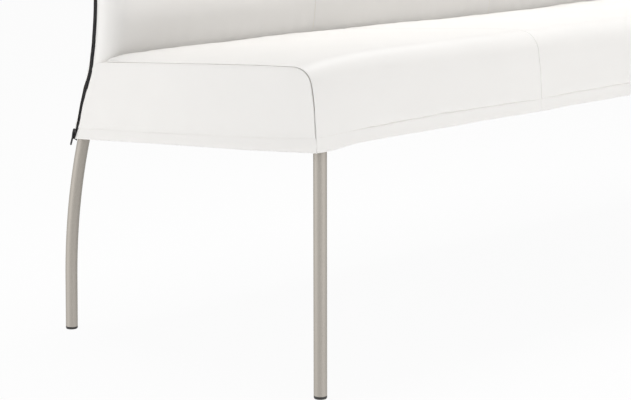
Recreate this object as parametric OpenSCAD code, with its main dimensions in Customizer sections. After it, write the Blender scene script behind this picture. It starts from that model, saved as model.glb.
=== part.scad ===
// Upholstered dining bench with a removable zipped cover on four round steel legs.
// X runs along the bench, the front faces -Y, and Z = 0 is the floor.

/* [Bench] */
// Length over the two side panels
bench_l = 1912; // [1600:8:2400]
// Height of the top of the backrest above the floor
bench_h = 950; // [900:5:1100]
// Height of the bottom of the seat frame at its front edge
frame_h = 392; // [340:2:440]
// Slope of the seat down to the rear, in degrees
seat_slope = 4.2; // [1:0.2:7]
// Depth of the seat from its front face to the zip at the hem
seat_run = 549; // [500:1:600]
// Thickness of the seat from the bottom of its frame to the side seam
seat_t = 103; // [95:1:125]
// Depth of the hem that hangs below the frame
hem_h = 21.5; // [15:0.5:30]

/* [Seat cushion] */
// Rise of the seat's crown above its side seam
crown_h = 14; // [4:1:20]
// Distance from the side within which most of the crown rises
crown_run = 50; // [30:1:80]
// Depth of the rounded front edge, front to rear
front_round_d = 42; // [30:1:80]
// Height of the rounded front edge
front_round_h = 38; // [25:1:50]
// Fall of the side seam where it meets the zip
rear_fall = 13; // [5:1:20]
// Length of the side seam over which it falls
rear_fall_run = 34; // [20:1:45]
// Distance of the seat's two cross seams from the sides
seat_seam_x = 528; // [300:1:480]
// Depth of the channel at a cross seam
seam_dip = 3; // [1:0.5:5]
// Half width of the channel at a cross seam
seam_w = 9; // [5:1:15]

/* [Backrest] */
// Lean of the zip's straight lower stretch toward the front, in degrees
zip_lean = 21.5; // [18:0.5:25]
// Length of the zip's straight lower stretch
zip_straight = 104; // [98:1:120]
// Radius of the back's curve at the lumbar
lumbar_r = 400; // [350:5:500]
// Radius of the back's curve at the shoulders
shoulder_r = 700; // [500:10:800]
// Lean of the top of the back to the rear, in degrees
back_lean = 12; // [6:0.5:16]
// Distance from the zip to the front face of the backrest
back_front = 41; // [36:1:50]
// Distance from the zip to the rear face of the backrest
back_rear = 9; // [8:0.5:12]
// Distance from the zip to the rear face at the hem
hem_rear_n = 21.5; // [21:0.5:26]
// Radius of the backrest's front side edge
back_side_round = 32; // [20:1:45]
// Radius of the backrest's top corners seen from the front
back_corner_r = 45; // [35:1:70]
// Height of the backrest's rounded top edge
top_round = 26; // [20:1:40]
// Distance of the backrest's outer seams from the sides
back_seam_x = 463; // [300:1:480]
// Depth to which the back's cover is tucked in behind the seat
tuck = 12; // [6:1:20]

/* [Legs] */
// Outer diameter of the leg tubes
leg_d = 20; // [18:0.5:24]
// Wall of the leg tubes
leg_wall = 1.5; // [1:0.25:2.5]
// Distance of the leg axes from the sides of the bench
leg_side = 28; // [24:1:40]
// Distance of the front leg axes from the front face
leg_front = 19.5; // [16:0.5:26]
// Distance of the rear leg axes behind the zips, at the bottom of the frame
leg_behind = 6.9; // [6:0.1:7]
// Lean of the rear leg at the floor, in degrees
foot_lean = 1.8; // [0.5:0.1:3]
// Length of the straight lower stretch of the rear leg
foot_straight = 90; // [60:1:110]
// Radius of the rear leg's curve
leg_bend_r = 840; // [750:5:950]
// Visible height of the glides
glide_h = 4.5; // [3:0.5:8]
// Length of the plug that holds a glide in its tube
plug_l = 22; // [12:1:35]
// Side length of the leg plates
plate_l = 56; // [50:1:60]
// Thickness of the leg plates
plate_t = 4; // [3:0.5:6]

/* [Frame] */
// Width of the seat frame's rails
rail_w = 60; // [58:1:75]
// Height of the seat frame's rails
rail_h = 40; // [30:1:45]
// Thickness of the seat board
board_t = 9; // [6:1:12]
// Thickness of the backrest's front board
back_board_t = 4; // [3:0.5:6]
// Width of the backrest's posts
post_w = 60; // [50:1:80]
// Thickness of the lining behind the posts
lining_t = 2; // [1:0.5:3]
// Height of the backrest's top rail
top_rail_h = 70; // [50:1:90]
// Thickness of the wadding on the side rails
wadding_t = 1.9; // [1:0.1:2]

/* [Cover] */
// Thickness of the cover's material
cover_t = 1.5; // [1:0.1:1.6]
// Clearance between soft pieces that lie on each other
soft_gap = 0.3; // [0.2:0.05:0.5]

/* [Zips] */
// Width of the zip that shows between the edges of the cover
zip_w = 10; // [9.6:0.1:12]
// Thickness of the zip's tape
tape_t = 0.6; // [0.4:0.1:0.8]
// Width of one row of teeth
coil_w = 1.6; // [1.2:0.1:2]
// Height of the rows of teeth
coil_h = 1.2; // [1:0.05:1.25]
// Slot between the two rows of teeth, in which the slider's web runs
slot_w = 0.6; // [0.5:0.1:0.9]
// Width of the slider
slider_w = 9; // [8:0.5:9.2]
// Length of the slider
slider_l = 16; // [14:1:18]
// Thickness of the slider's outer plate
slider_t = 1.2; // [1:0.1:1.6]
// Length of the pull below its pivot
pull_l = 20; // [16:1:26]
// Width of the pull
pull_w = 3.4; // [3.2:0.1:4]
// Diameter of the pull's pivot bar
pivot_d = 1; // [0.8:0.1:1.1]
// Height of the slider's bridge above its outer plate
bridge_h = 2.2; // [2:0.1:2.6]

/* [Hidden] */
$fn = 48;

cover_color = "white";
metal_color = "silver";
wood_color = "burlywood";
foam_color = "khaki";
zip_color = "black";

// Lean of the zip against the seat's own upright
lean_in_seat = zip_lean + seat_slope;
// The rear leg's top, and how far its curve carries the foot to the rear
leg_top_u = seat_run - hem_h * tan(lean_in_seat) + leg_behind;
leg_top_z = frame_h - leg_top_u * sin(seat_slope);
leg_top_a = asin(sin(foot_lean) + (leg_top_z - foot_straight * cos(foot_lean)) / leg_bend_r);
foot_y = leg_top_u * cos(seat_slope) + foot_straight * sin(foot_lean)
    + leg_bend_r * (cos(foot_lean) - cos(leg_top_a));
// Depth of the bench, from the front of the hem to the rear of the feet
bench_d = foot_y + leg_d / 2 + hem_h * sin(seat_slope);
seat_y = hem_h * sin(seat_slope) - bench_d / 2;
half_l = bench_l / 2;
cut = leg_d;
joint_gap = cover_t / 30;

// Slope of the seat: a point u to the rear and w up, in the seat's own axes
function seat_pt(u, w) = [
    seat_y + u * cos(seat_slope) + w * sin(seat_slope),
    frame_h - u * sin(seat_slope) + w * cos(seat_slope)
];
function seat_u(p) = (p.x - seat_y) * cos(seat_slope) - (p.y - frame_h) * sin(seat_slope);
function seat_up(p) = (p.x - seat_y) * sin(seat_slope) + (p.y - frame_h) * cos(seat_slope);

// The zip's path seen from the side: a straight stretch, two arcs and a straight
function toward_front(a) = [-cos(a), -sin(a)];
function upward(a) = [-sin(a), cos(a)];
arc_1 = lumbar_r * zip_lean * PI / 180;
arc_2 = shoulder_r * back_lean * PI / 180;
path_0 = seat_pt(seat_run, -hem_h);
path_1 = path_0 + zip_straight * upward(zip_lean);
lumbar_c = path_1 - lumbar_r * toward_front(zip_lean);
path_2 = lumbar_c + lumbar_r * toward_front(0);
shoulder_c = path_2 - shoulder_r * toward_front(0);
path_3 = shoulder_c + shoulder_r * toward_front(-back_lean);
s_1 = zip_straight;
s_2 = s_1 + arc_1;
s_3 = s_2 + arc_2;
s_top = s_3 + (bench_h - path_3.y) / cos(back_lean);
function lean(s) = s < s_1 ? zip_lean
    : s < s_2 ? zip_lean - (s - s_1) / lumbar_r * 180 / PI
    : s < s_3 ? -(s - s_2) / shoulder_r * 180 / PI
    : -back_lean;
function line(s) = s < s_1 ? path_0 + s * upward(zip_lean)
    : s < s_2 ? lumbar_c + lumbar_r * toward_front(lean(s))
    : s < s_3 ? shoulder_c + shoulder_r * toward_front(lean(s))
    : path_3 + (s - s_3) * upward(-back_lean);
// A point s up the path and n toward the front of it
function on_line(s, n) = line(s) + n * toward_front(lean(s));
// The s at which a line at n reaches the height w above the frame's bottom
function rise_to(w, n, low = -3 * hem_h, high = s_top, steps = 26) =
    let (middle = (low + high) / 2)
    steps == 0 ? middle
    : seat_up(on_line(middle, n)) > w ? rise_to(w, n, low, middle, steps - 1)
    : rise_to(w, n, middle, high, steps - 1);
// Distance of the rear face from the zip, which grows toward the hem
function rear_depth(s) = back_rear + (hem_rear_n - back_rear) * max(0, 1 - s / s_1);

// Share of its full depth that a rounded edge of radius r has at distance d
function round_share(d, r) = d >= r ? 1 : d <= 0 ? 0 : sqrt(1 - pow(1 - d / r, 2));
function dip(x, seam) = seam_dip * exp(-pow((x - seam) / seam_w, 2));
function back_dip(x) = dip(x, back_seam_x) + dip(x, half_l);
function mirrored(x) = min(x, bench_l - x);
function crown(x) = crown_h * (1 - exp(-mirrored(x) / crown_run));
edge_n = zip_w / 2;
// Front surface of the backrest at x from the left side, drawn in by q
function front_n(x, q) = edge_n + (back_front - q - edge_n - back_dip(mirrored(x)))
    * round_share(mirrored(x) - q, back_side_round - q);
// Rear surface, which runs at a slant from the zip to its full depth
function slant(d, r) = max(0, min(1, d / r));
function rear_n(x, s, q) = let (r = rear_depth(s) - edge_n)
    -edge_n - (r - q) * slant(mirrored(x) - q, r - q);
function top_s(x, q) = s_top - q
    - back_corner_r * (1 - round_share(mirrored(x) - q, back_corner_r - q));
function half_depth(x, q) = (front_n(x, q) - rear_n(x, s_top, q)) / 2;
function cap_h(x, q) = top_round * half_depth(x, q) / half_depth(half_l, q);
function cap_s(x, q) = top_s(x, q) - cap_h(x, q);

// Height of the seat's surface at its rear end, and the point where it meets the back
function seam_drop(x) = rear_fall * (1 - round_share(mirrored(x), back_side_round));
function seat_top(x, q) = seat_t + crown(x) - dip(mirrored(x), seat_seam_x) - q;
function seat_end_w(x, q) = seat_top(x, q) - seam_drop(x);
function seat_end_u(x, q) = let (n = front_n(x, 0) + soft_gap)
    seat_u(on_line(rise_to(seat_end_w(x, q), n), n));

// Places along the bench, from the side at x = q to the first seam and between the seams
angle_step = 18;
near_seam_shares = [2, 0.8];
far_shares = [0.2, 0.6];
function side_xs(q, r, seam) = let (past = max(back_corner_r, r + seam_w)) concat(
    [for (a = [0 : angle_step : 90]) q + (r - q) * (1 - cos(a))],
    [past],
    [for (k = far_shares) past + (seam - past) * k],
    [for (k = near_seam_shares) seam - k * seam_w],
    [seam - soft_gap / 2]
);
function after_xs(seam) = concat(
    [seam + soft_gap / 2],
    [for (k = reversed(near_seam_shares)) seam + k * seam_w]
);
function middle_xs(seam) = concat(after_xs(seam), mirror_xs(after_xs(seam)));
function inner_xs(seam) = concat(
    after_xs(seam),
    [for (k = near_seam_shares) half_l - k * seam_w],
    [half_l - soft_gap / 2]
);
function reversed(v) = [for (i = [len(v) - 1 : -1 : 0]) v[i]];
function mirror_xs(xs) = [for (x = reversed(xs)) bench_l - x];

// Meshes of rows of points
function strip(a, b, n) = [for (j = [0 : n - 2]) each [
    [a + j, b + j + 1, a + j + 1],
    [a + j, b + j, b + j + 1]
]];
function loop(a, b, n) = concat(strip(a, b, n), [[a + n - 1, b, a], [a + n - 1, b + n - 1, b]]);
function joined(rows) = [for (row = rows) each row];

// A closed tube of rows, each a ring of points in the same turning sense
module ring_solid(rings) {
    n = len(rings[0]);
    last = len(rings) - 1;
    polyhedron(joined(rings), concat(
        [for (i = [0 : last - 1]) each loop(i * n, (i + 1) * n, n)],
        [for (j = [1 : n - 2]) [0, j, j + 1]],
        [for (j = [1 : n - 2]) [last * n, last * n + j + 1, last * n + j]]
    ));
}
// A sheet between an outer and an inner grid, as rings that run out along one and back
// along the other; the ring's ends are closed by strips across the sheet's thickness.
module sheet_solid(outer, inner) {
    n = len(outer[0]);
    last = len(outer) - 1;
    rings = [for (i = [0 : last]) concat(outer[i], reversed(inner[i]))];
    m = 2 * n;
    polyhedron(joined(rings), concat(
        [for (i = [0 : last - 1]) each loop(i * m, (i + 1) * m, m)],
        [for (j = [0 : n - 2]) each [[j, j + 1, m - 2 - j], [j, m - 2 - j, m - 1 - j]]],
        [for (j = [0 : n - 2]) each [
            [last * m + j, last * m + m - 2 - j, last * m + j + 1],
            [last * m + j, last * m + m - 1 - j, last * m + m - 2 - j]
        ]]
    ));
}

// Placing
module on_seat() translate([0, seat_y, frame_h]) rotate([-seat_slope, 0, 0]) children();
module right_side(right) mirror([right ? 1 : 0, 0, 0]) children();
// A flat piece of outline pts seen from the side, from x to x + t
module side_plate(x, t, pts) translate([x, 0, 0]) rotate([90, 0, 90])
    linear_extrude(height = t) polygon(pts);
// Axes at s on the zip: Z up the chain, Y to the rear, X in from the left side
module on_zip(s) translate([-half_l, line(s).x, line(s).y]) rotate([lean(s), 0, 0]) children();

// Insets of the inner pieces from the outer faces
skin = cover_t + soft_gap;
side_in = skin + wadding_t + soft_gap;
post_in = 3 * side_in;
post_front_n = back_front / 3;
board_front_n = post_front_n + back_board_t;
foam_base_n = board_front_n + 3 * soft_gap;
lining_rear = skin;
post_rear = lining_rear + lining_t + soft_gap;
rail_top_share = 0.75;
rail_top_s = s_top - top_round * rail_top_share;
rail_low_s = rail_top_s - top_rail_h;
// Places for prismatic pieces along the path, with the end of the straight as one
path_steps = 22;
function stations(a, b, steps = path_steps) = a < s_1
    ? concat([a], [for (i = [0 : steps]) s_1 + (b - s_1) * i / steps])
    : [for (i = [0 : steps]) a + (b - a) * i / steps];
function along(a, b, n) = [for (s = stations(a, b)) on_line(s, n)];

// Seat: profile from the bottom of the front face, up over the crown and to the rear
top_shares = [0.3, 0.65, 1];
fall_shares = [0.35, 0.6, 0.8, 0.93, 1];
function seat_profile(x, q, w0) = let (
    end = seat_end_u(x, q),
    start = end - rear_fall_run,
    h = seat_top(x, q),
    low = seat_t - front_round_h
) concat(
    [[q, w0]],
    [for (a = [0 : angle_step : 90]) [
        front_round_d - (front_round_d - q) * cos(a),
        low + (h - low) * sin(a)
    ]],
    [for (k = top_shares) [front_round_d + (start - front_round_d) * k, h]],
    [for (k = fall_shares) [
        start + rear_fall_run * k,
        h - seam_drop(x) * (1 - sqrt(1 - k * k))
    ]]
);
function seat_row(x, q, w0) = [for (p = seat_profile(x, q, w0))
    let (a = seat_pt(p.x, p.y)) [x - half_l, a.x, a.y]];
foam_floor = rail_h + board_t + joint_gap;
foam_side_shares = [0.6, 0.3, 0];
function seat_foam_ring(x) = concat(seat_row(x, skin, foam_floor), [for (k = foam_side_shares)
    let (
        n = front_n(x, 0) + soft_gap,
        w = foam_floor + (seat_end_w(x, skin) - foam_floor) * k,
        a = on_line(rise_to(w, n), n)
    ) [x - half_l, a.x, a.y]]);

module seat_section(outer_xs, inner_xs) color(cover_color) sheet_solid(
    [for (x = outer_xs) seat_row(x, 0, 0)],
    [for (x = inner_xs) seat_row(x, cover_t, 0)]
);
module seat_cover_left() seat_section(
    side_xs(0, back_side_round, seat_seam_x), side_xs(cover_t, back_side_round, seat_seam_x));
module seat_cover_middle() seat_section(middle_xs(seat_seam_x), middle_xs(seat_seam_x));
module seat_cover_right() seat_section(
    mirror_xs(side_xs(0, back_side_round, seat_seam_x)),
    mirror_xs(side_xs(cover_t, back_side_round, seat_seam_x)));
function whole_xs(q, seam) = concat(
    side_xs(q, back_side_round, seam), middle_xs(seam),
    mirror_xs(side_xs(q, back_side_round, seam)));
module seat_foam() color(foam_color)
    ring_solid([for (x = whole_xs(skin + 3 * soft_gap, seat_seam_x)) seat_foam_ring(x)]);

function back_xs(q) = concat(
    side_xs(q, back_side_round, back_seam_x),
    inner_xs(back_seam_x),
    mirror_xs(inner_xs(back_seam_x)),
    mirror_xs(side_xs(q, back_side_round, back_seam_x)));
// Backrest: profile from behind the seat, up the front and over the top to the rear
front_steps = 11;
cap_step = 30;
function back_low_s(x) = let (n = front_n(x, 0)) rise_to(seat_end_w(x, 0) + soft_gap
    - tuck * max(0, min(1, (mirrored(x) - 2 * cover_t) / tuck)), n);
function back_stations(a, b) = [for (k = [0 : front_steps]) a + (b - a) * k / front_steps];
function back_profile(x, q) = let (
    n = front_n(x, q),
    h = half_depth(x, q),
    s = cap_s(x, q)
) concat(
    [for (k = back_stations(back_low_s(x), s)) on_line(k, n)],
    [for (a = [cap_step : cap_step : 180])
        on_line(s + cap_h(x, q) * sin(a), n - h + h * cos(a))]
);
function back_row(x, q) = [for (p = back_profile(x, q)) [x - half_l, p.x, p.y]];
module back_section(outer_xs, inner_xs) color(cover_color) sheet_solid(
    [for (x = outer_xs) back_row(x, 0)],
    [for (x = inner_xs) back_row(x, cover_t)]
);
module back_cover_left() back_section(
    side_xs(0, back_side_round, back_seam_x), side_xs(cover_t, back_side_round, back_seam_x));
module back_cover_inner_left() back_section(inner_xs(back_seam_x), inner_xs(back_seam_x));
module back_cover_inner_right() back_section(
    mirror_xs(inner_xs(back_seam_x)), mirror_xs(inner_xs(back_seam_x)));
module back_cover_right() back_section(
    mirror_xs(side_xs(0, back_side_round, back_seam_x)),
    mirror_xs(side_xs(cover_t, back_side_round, back_seam_x)));

// The foam ends on the board, and its top stays inside the cover's rounded edge
foam_cap_share = 0.7;
function back_foam_ring(x) = let (
    n = front_n(x, skin),
    s = cap_s(x, skin) - soft_gap,
    low = back_low_s(x),
    floor_s = rise_to(foam_floor + soft_gap, n),
    base_s = rise_to(foam_floor + soft_gap, foam_base_n),
    front = concat([floor_s, (floor_s + low) / 2], back_stations(low, s)),
    base = concat([base_s, (base_s + low) / 2], back_stations(low, s)),
    high = cap_h(x, skin) * foam_cap_share
) [for (p = concat(
    [for (k = front) on_line(k, n)],
    [for (a = [cap_step : cap_step : 90])
        on_line(s + high * sin(a), foam_base_n + (n - foam_base_n) * cos(a))],
    [for (k = reversed(base)) on_line(k, foam_base_n)]
)) [x - half_l, p.x, p.y]];
foam_inset_share = 0.2;
module back_foam() color(foam_color) ring_solid([
    for (x = back_xs(skin))
        if (mirrored(x) > back_side_round * foam_inset_share) back_foam_ring(x)
]);

// Rear panel: rounded round both rear edges, from the frame's bottom to the back's top
corner_step = 18;
corner_shares = [0.2, 0.4, 0.7, 1];
panel_steps = 10;
function rear_xs(s, q) = let (r = rear_depth(s) - edge_n, half = concat(
    [for (a = [0 : corner_step : 90]) q + (r - q) * (1 - cos(a))],
    [for (k = corner_shares) r + (back_corner_r - r) * k]
)) concat(half, mirror_xs(half));
function rear_point(i, s, q) = let (x = rear_xs(s, q)[i], p = on_line(s, rear_n(x, s, q)))
    [x - half_l, p.x, p.y];
function rear_at(i, w, q) = let (
    guess = rise_to(w, -hem_rear_n),
    x = rear_xs(guess, q)[i],
    n = rear_n(x, guess, q),
    p = on_line(rise_to(w, n), n)
) [x - half_l, p.x, p.y];
function panel_top_s(i, q) = cap_s(rear_xs(s_top, q)[i], q) - 4 * soft_gap;
function panel_row(i, q) = concat(
    [rear_at(i, 0, q)],
    [for (k = [0.5, 1]) rear_point(i, s_1 * k, q)],
    [for (k = [1 : panel_steps])
        rear_point(i, s_1 + (panel_top_s(i, q) - s_1) * k / panel_steps, q)]
);
rear_rows = len(rear_xs(0, 0)) - 1;
module rear_panel() color(cover_color) sheet_solid(
    [for (i = [rear_rows : -1 : 0]) panel_row(i, 0)],
    [for (i = [rear_rows : -1 : 0]) panel_row(i, cover_t)]
);
module hem_rear() color(cover_color) sheet_solid(
    [for (i = [rear_rows : -1 : 0]) [for (w = [-hem_h, -joint_gap]) rear_at(i, w, 0)]],
    [for (i = [rear_rows : -1 : 0]) [for (w = [-hem_h, -joint_gap]) rear_at(i, w, cover_t)]]
);

// Flat side panels and hems
function zip_edge(w) = on_line(rise_to(w, edge_n + soft_gap), edge_n + soft_gap);
module side_panel(right) color(cover_color) right_side(right)
    side_plate(-half_l, cover_t, concat(
        [for (p = seat_profile(cover_t, cover_t + 2 * joint_gap, 0)) seat_pt(p.x, p.y)],
        [zip_edge(seat_end_w(0, cover_t)), on_line(s_1, edge_n + soft_gap), zip_edge(0)]
    ));
module side_panel_left() side_panel(false);
module side_panel_right() side_panel(true);
module side_hem(right) color(cover_color) right_side(right) side_plate(-half_l, cover_t, [
    seat_pt(0, -hem_h), seat_pt(0, -joint_gap), zip_edge(-joint_gap), zip_edge(-hem_h)
]);
module hem_left() side_hem(false);
module hem_right() side_hem(true);
module hem_front() color(cover_color) on_seat()
    translate([-half_l + cover_t + joint_gap, 0, -hem_h])
    cube([bench_l - 2 * (cover_t + joint_gap), cover_t, hem_h - joint_gap]);

// Frame
front_in = skin;
module seat_bar(x, u, l, d) on_seat() translate([x, u, 0]) cube([l, d, rail_h]);
rear_rail_u = seat_u(on_line(rise_to(rail_h, post_front_n), post_front_n)) - rail_w;
module front_rail() color(wood_color) difference() {
    seat_bar(-half_l + side_in, front_in, bench_l - 2 * side_in, rail_w);
    plate_screws(true);
    board_screws(true);
    rail_screws(true);
}
module rear_rail() color(wood_color) difference() {
    side_plate(-half_l + side_in, bench_l - 2 * side_in, [
        seat_pt(rear_rail_u, 0), seat_pt(rear_rail_u, rail_h),
        on_line(rise_to(rail_h, post_front_n), post_front_n),
        on_line(rise_to(0, post_front_n), post_front_n)
    ]);
    plate_screws(true);
    board_screws(true);
    rail_screws(true);
    post_screws(true);
}
side_rail_u = front_in + rail_w + joint_gap;
side_rail_l = rear_rail_u - joint_gap - side_rail_u;
cross_x = bench_l / 6;
rail_middle_x = half_l - side_in - rail_w / 2;
module lengthwise_rail(x) color(wood_color) difference() {
    seat_bar(x - rail_w / 2, side_rail_u, rail_w, side_rail_l);
    rail_screws(true);
}
module side_rail_left() lengthwise_rail(-rail_middle_x);
module side_rail_right() lengthwise_rail(rail_middle_x);
module cross_rail_left() lengthwise_rail(-cross_x);
module cross_rail_right() lengthwise_rail(cross_x);
module seat_board() color(wood_color) difference() {
    side_plate(-half_l + side_in, bench_l - 2 * side_in, [
        seat_pt(front_in, rail_h + joint_gap), seat_pt(front_in, rail_h + board_t),
        on_line(rise_to(rail_h + board_t, post_front_n + joint_gap), post_front_n + joint_gap),
        on_line(rise_to(rail_h + joint_gap, post_front_n + joint_gap), post_front_n + joint_gap)
    ]);
    board_screws(true);
}
wadding_rear_n = edge_n + zip_w;
module side_wadding(right) color(cover_color) right_side(right)
    side_plate(-half_l + skin, wadding_t, [
        seat_pt(front_in, joint_gap), seat_pt(front_in, rail_h),
        on_line(rise_to(rail_h, wadding_rear_n), wadding_rear_n),
        on_line(rise_to(joint_gap, wadding_rear_n), wadding_rear_n)
    ]);
module side_wadding_left() side_wadding(false);
module side_wadding_right() side_wadding(true);
cloth_t = cover_t / 2;
dust_end_u = seat_u(on_line(rise_to(0, 0), 0));
module dust_cover() color("dimgray") on_seat() difference() {
    translate([-half_l + post_in, side_in, -cloth_t - joint_gap])
        cube([bench_l - 2 * post_in, dust_end_u - side_in, cloth_t]);
    for (x = [-half_l, half_l - plate_reach])
        for (u = [0, rear_plate_u - side_in])
            translate([x, u, -cut / 2]) cube([plate_reach, plate_reach, cut]);
}

// Leg plates and their screws
plate_in = side_in;
plate_reach = plate_in + plate_l + joint_gap;
rear_plate_n = -(rear_depth(rise_to(0, -edge_n)) - skin - soft_gap);
rear_plate_u = seat_u(on_line(rise_to(0, rear_plate_n), rear_plate_n)) - plate_l;
plate_cut = plate_l / 4;
screw_in = plate_l / 7;
screw_in_u = plate_l / 4;
screw_d = plate_t;
screw_l = plate_t + rail_h / 3;
screw_free = 2 * joint_gap;
// A countersunk screw with its head at Z = 0 and its shank up, or the bore for it
module screw(l, bore, head = true) {
    grow = bore ? screw_free : 0;
    translate([0, 0, bore ? -cut : 0])
        cylinder(d = screw_d + grow, h = l + grow + (bore ? cut : 0));
    if (head) cylinder(d1 = 2 * screw_d + grow, d2 = screw_d + grow, h = screw_d / 2);
}
// Beneath the plates: the head is flush with the plate's lower face
module plate_screws(bore) on_seat()
    for (x = [-half_l + plate_in, half_l - plate_in - plate_l])
        for (u = [plate_in, rear_plate_u])
            for (dx = [screw_in, plate_l - screw_in])
                for (du = [screw_in_u, plate_l - screw_in_u])
                    translate([x + dx, u + du, -plate_t]) screw(screw_l, bore);
module leg_plate_screws() color(metal_color) plate_screws(false);
module leg_plate(right, rear) color(metal_color) difference() {
    right_side(right) on_seat()
        translate([-half_l + plate_in, rear ? rear_plate_u : plate_in, -plate_t])
        linear_extrude(height = plate_t) polygon([
            [plate_cut, 0], [plate_l - plate_cut, 0], [plate_l, plate_cut],
            [plate_l, plate_l - plate_cut], [plate_l - plate_cut, plate_l],
            [plate_cut, plate_l], [0, plate_l - plate_cut], [0, plate_cut]
        ]);
    plate_screws(true);
}
module leg_plate_front_left() leg_plate(false, false);
module leg_plate_front_right() leg_plate(true, false);
module leg_plate_rear_left() leg_plate(false, true);
module leg_plate_rear_right() leg_plate(true, true);

// Screws through the board into the rails, heads up
board_screw_l = board_t + rail_h / 4;
board_screw_x_shares = [-0.95, -0.5, 0, 0.5, 0.95];
module board_screws(bore) on_seat()
    for (k = board_screw_x_shares)
        for (u = [front_in + rail_w / 2, rear_rail_u + rail_w / 2])
            translate([k * (half_l - side_in) + screw_in, u, rail_h + board_t])
                mirror([0, 0, 1]) screw(board_screw_l, bore);
module seat_board_screws() color(metal_color) board_screws(false);

// Screws through the front and rear rails into the ends of the lengthwise rails
rail_screw_l = 1.5 * rail_w;
module rail_screws(bore) on_seat()
    for (x = [-rail_middle_x, -cross_x, cross_x, rail_middle_x])
        for (dx = [-rail_w / 4, rail_w / 4]) {
            translate([x + dx, front_in, rail_h / 2])
                rotate([-90, 0, 0]) screw(rail_screw_l, bore);
            translate([x + dx, rear_rail_u + rail_w, rail_h / 2])
                rotate([90, 0, 0]) screw(rail_screw_l, bore);
        }
module frame_screws() color(metal_color) rail_screws(false);

// Backrest frame
post_middle_x = half_l - post_in - post_w / 2;
post_xs = [-post_middle_x, -cross_x, cross_x, post_middle_x];
function post_rear_n(s) = -(rear_depth(s) - post_rear);
// The s at which the posts' rear faces reach the height w
function post_rear_s(w) = rise_to(w, post_rear_n(rise_to(w, -hem_rear_n / 2)));
function post_outline(low_w, high_s) = concat(
    along(rise_to(low_w, post_front_n), high_s, post_front_n),
    reversed([for (s = stations(post_rear_s(low_w), high_s)) on_line(s, post_rear_n(s))])
);
post_screw_w = 3 * rail_h / 4;
post_screw_s = post_rear_s(post_screw_w);
post_screw_u = seat_u(on_line(post_screw_s, post_rear_n(post_screw_s))) - screw_d;
module post_screws(bore) on_seat()
    for (x = post_xs)
        for (dx = [-post_w / 4, post_w / 4])
            translate([x + dx, post_screw_u, post_screw_w])
                rotate([90, 0, 0]) screw(rail_screw_l / 2, bore);
module back_post_screws() color(metal_color) post_screws(false);
module back_post(x) color(wood_color) difference() {
    side_plate(x - post_w / 2, post_w, post_outline(4 * joint_gap, rail_low_s - joint_gap));
    post_screws(true);
    plate_screws(true);
}
module back_post_left() back_post(post_xs[0]);
module back_post_inner_left() back_post(post_xs[1]);
module back_post_inner_right() back_post(post_xs[2]);
module back_post_right() back_post(post_xs[3]);
// A curved layer of the backrest, narrower above the ends of the posts
module back_layer(side, low, high, n_1, n_2) union() {
    side_plate(-half_l + side, bench_l - 2 * side,
        concat(along(low, rail_low_s, n_1), reversed(along(low, rail_low_s, n_2))));
    side_plate(-half_l + back_corner_r, bench_l - 2 * back_corner_r, [
        on_line(rail_low_s, n_1), on_line(high, n_1), on_line(high, n_2), on_line(rail_low_s, n_2)
    ]);
}
module back_top_rail() color(wood_color)
    side_plate(-half_l + back_corner_r, bench_l - 2 * back_corner_r, [
        on_line(rail_low_s, post_front_n - joint_gap),
        on_line(rail_top_s, post_front_n - joint_gap),
        on_line(rail_top_s, post_rear - back_rear), on_line(rail_low_s, post_rear - back_rear)
    ]);
module back_board() color(wood_color) back_layer(post_in,
    rise_to(rail_h + board_t + joint_gap, board_front_n), rail_top_s,
    post_front_n + joint_gap, board_front_n);
lining_in = post_in + back_side_round / 2;
module back_lining() color("dimgray")
    side_plate(-half_l + lining_in, bench_l - 2 * lining_in, concat(
        [for (s = stations(rise_to(0, 0), rail_low_s)) on_line(s, post_rear_n(s) - soft_gap)],
        reversed([for (s = stations(rise_to(0, 0), rail_low_s))
            on_line(s, lining_rear - rear_depth(s))])
    ));

// Legs: hollow tubes cut by the plates, and glides in their ends
module below_plates() difference() {
    children();
    on_seat() translate([-bench_l, -bench_d, -plate_t]) cube([2 * bench_l, 3 * bench_d, bench_h]);
}
module tube_profile() difference() {
    circle(d = leg_d);
    circle(d = leg_d - 2 * leg_wall);
}
leg_x = half_l - leg_side;
front_leg_y = seat_y + leg_front;
rear_foot_y = seat_y + foot_y;
module front_leg(right) color(metal_color) right_side(right) below_plates()
    translate([-leg_x, front_leg_y, glide_h])
    linear_extrude(height = frame_h) tube_profile();
module front_leg_left() front_leg(false);
module front_leg_right() front_leg(true);
// The rear foot's own axes: Z up the tube's straight stretch
module at_rear_foot() translate([-leg_x, rear_foot_y, 0]) rotate([foot_lean, 0, 0]) children();
module rear_leg(right) color(metal_color) right_side(right) below_plates() union() {
    at_rear_foot() translate([0, 0, glide_h])
        linear_extrude(height = foot_straight - glide_h) tube_profile();
    at_rear_foot() translate([0, -leg_bend_r, foot_straight])
        rotate([90, 0, 90]) rotate_extrude(angle = leg_top_a, $fn = 4 * $fn)
        translate([leg_bend_r, 0]) tube_profile();
}
module rear_leg_left() rear_leg(false);
module rear_leg_right() rear_leg(true);
plug_d = leg_d - 2 * leg_wall - 4 * joint_gap;
glide_edge = glide_h / 3;
module glide_shape() {
    translate([0, 0, glide_h]) cylinder(d = plug_d, h = plug_l);
    translate([0, 0, glide_edge]) cylinder(d = leg_d, h = glide_h - glide_edge);
    translate([0, 0, -glide_edge]) cylinder(d = leg_d - glide_edge, h = glide_h);
}
module above_floor() difference() {
    children();
    translate([-bench_l, -bench_d, -cut]) cube([2 * bench_l, 2 * bench_d, cut]);
}
module glide_front(right) color("black") right_side(right) above_floor()
    translate([-leg_x, front_leg_y, 0]) glide_shape();
module glide_rear(right) color("black") right_side(right) above_floor()
    at_rear_foot() glide_shape();
module glide_front_left() glide_front(false);
module glide_front_right() glide_front(true);
module glide_rear_left() glide_rear(false);
module glide_rear_right() glide_rear(true);

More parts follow.
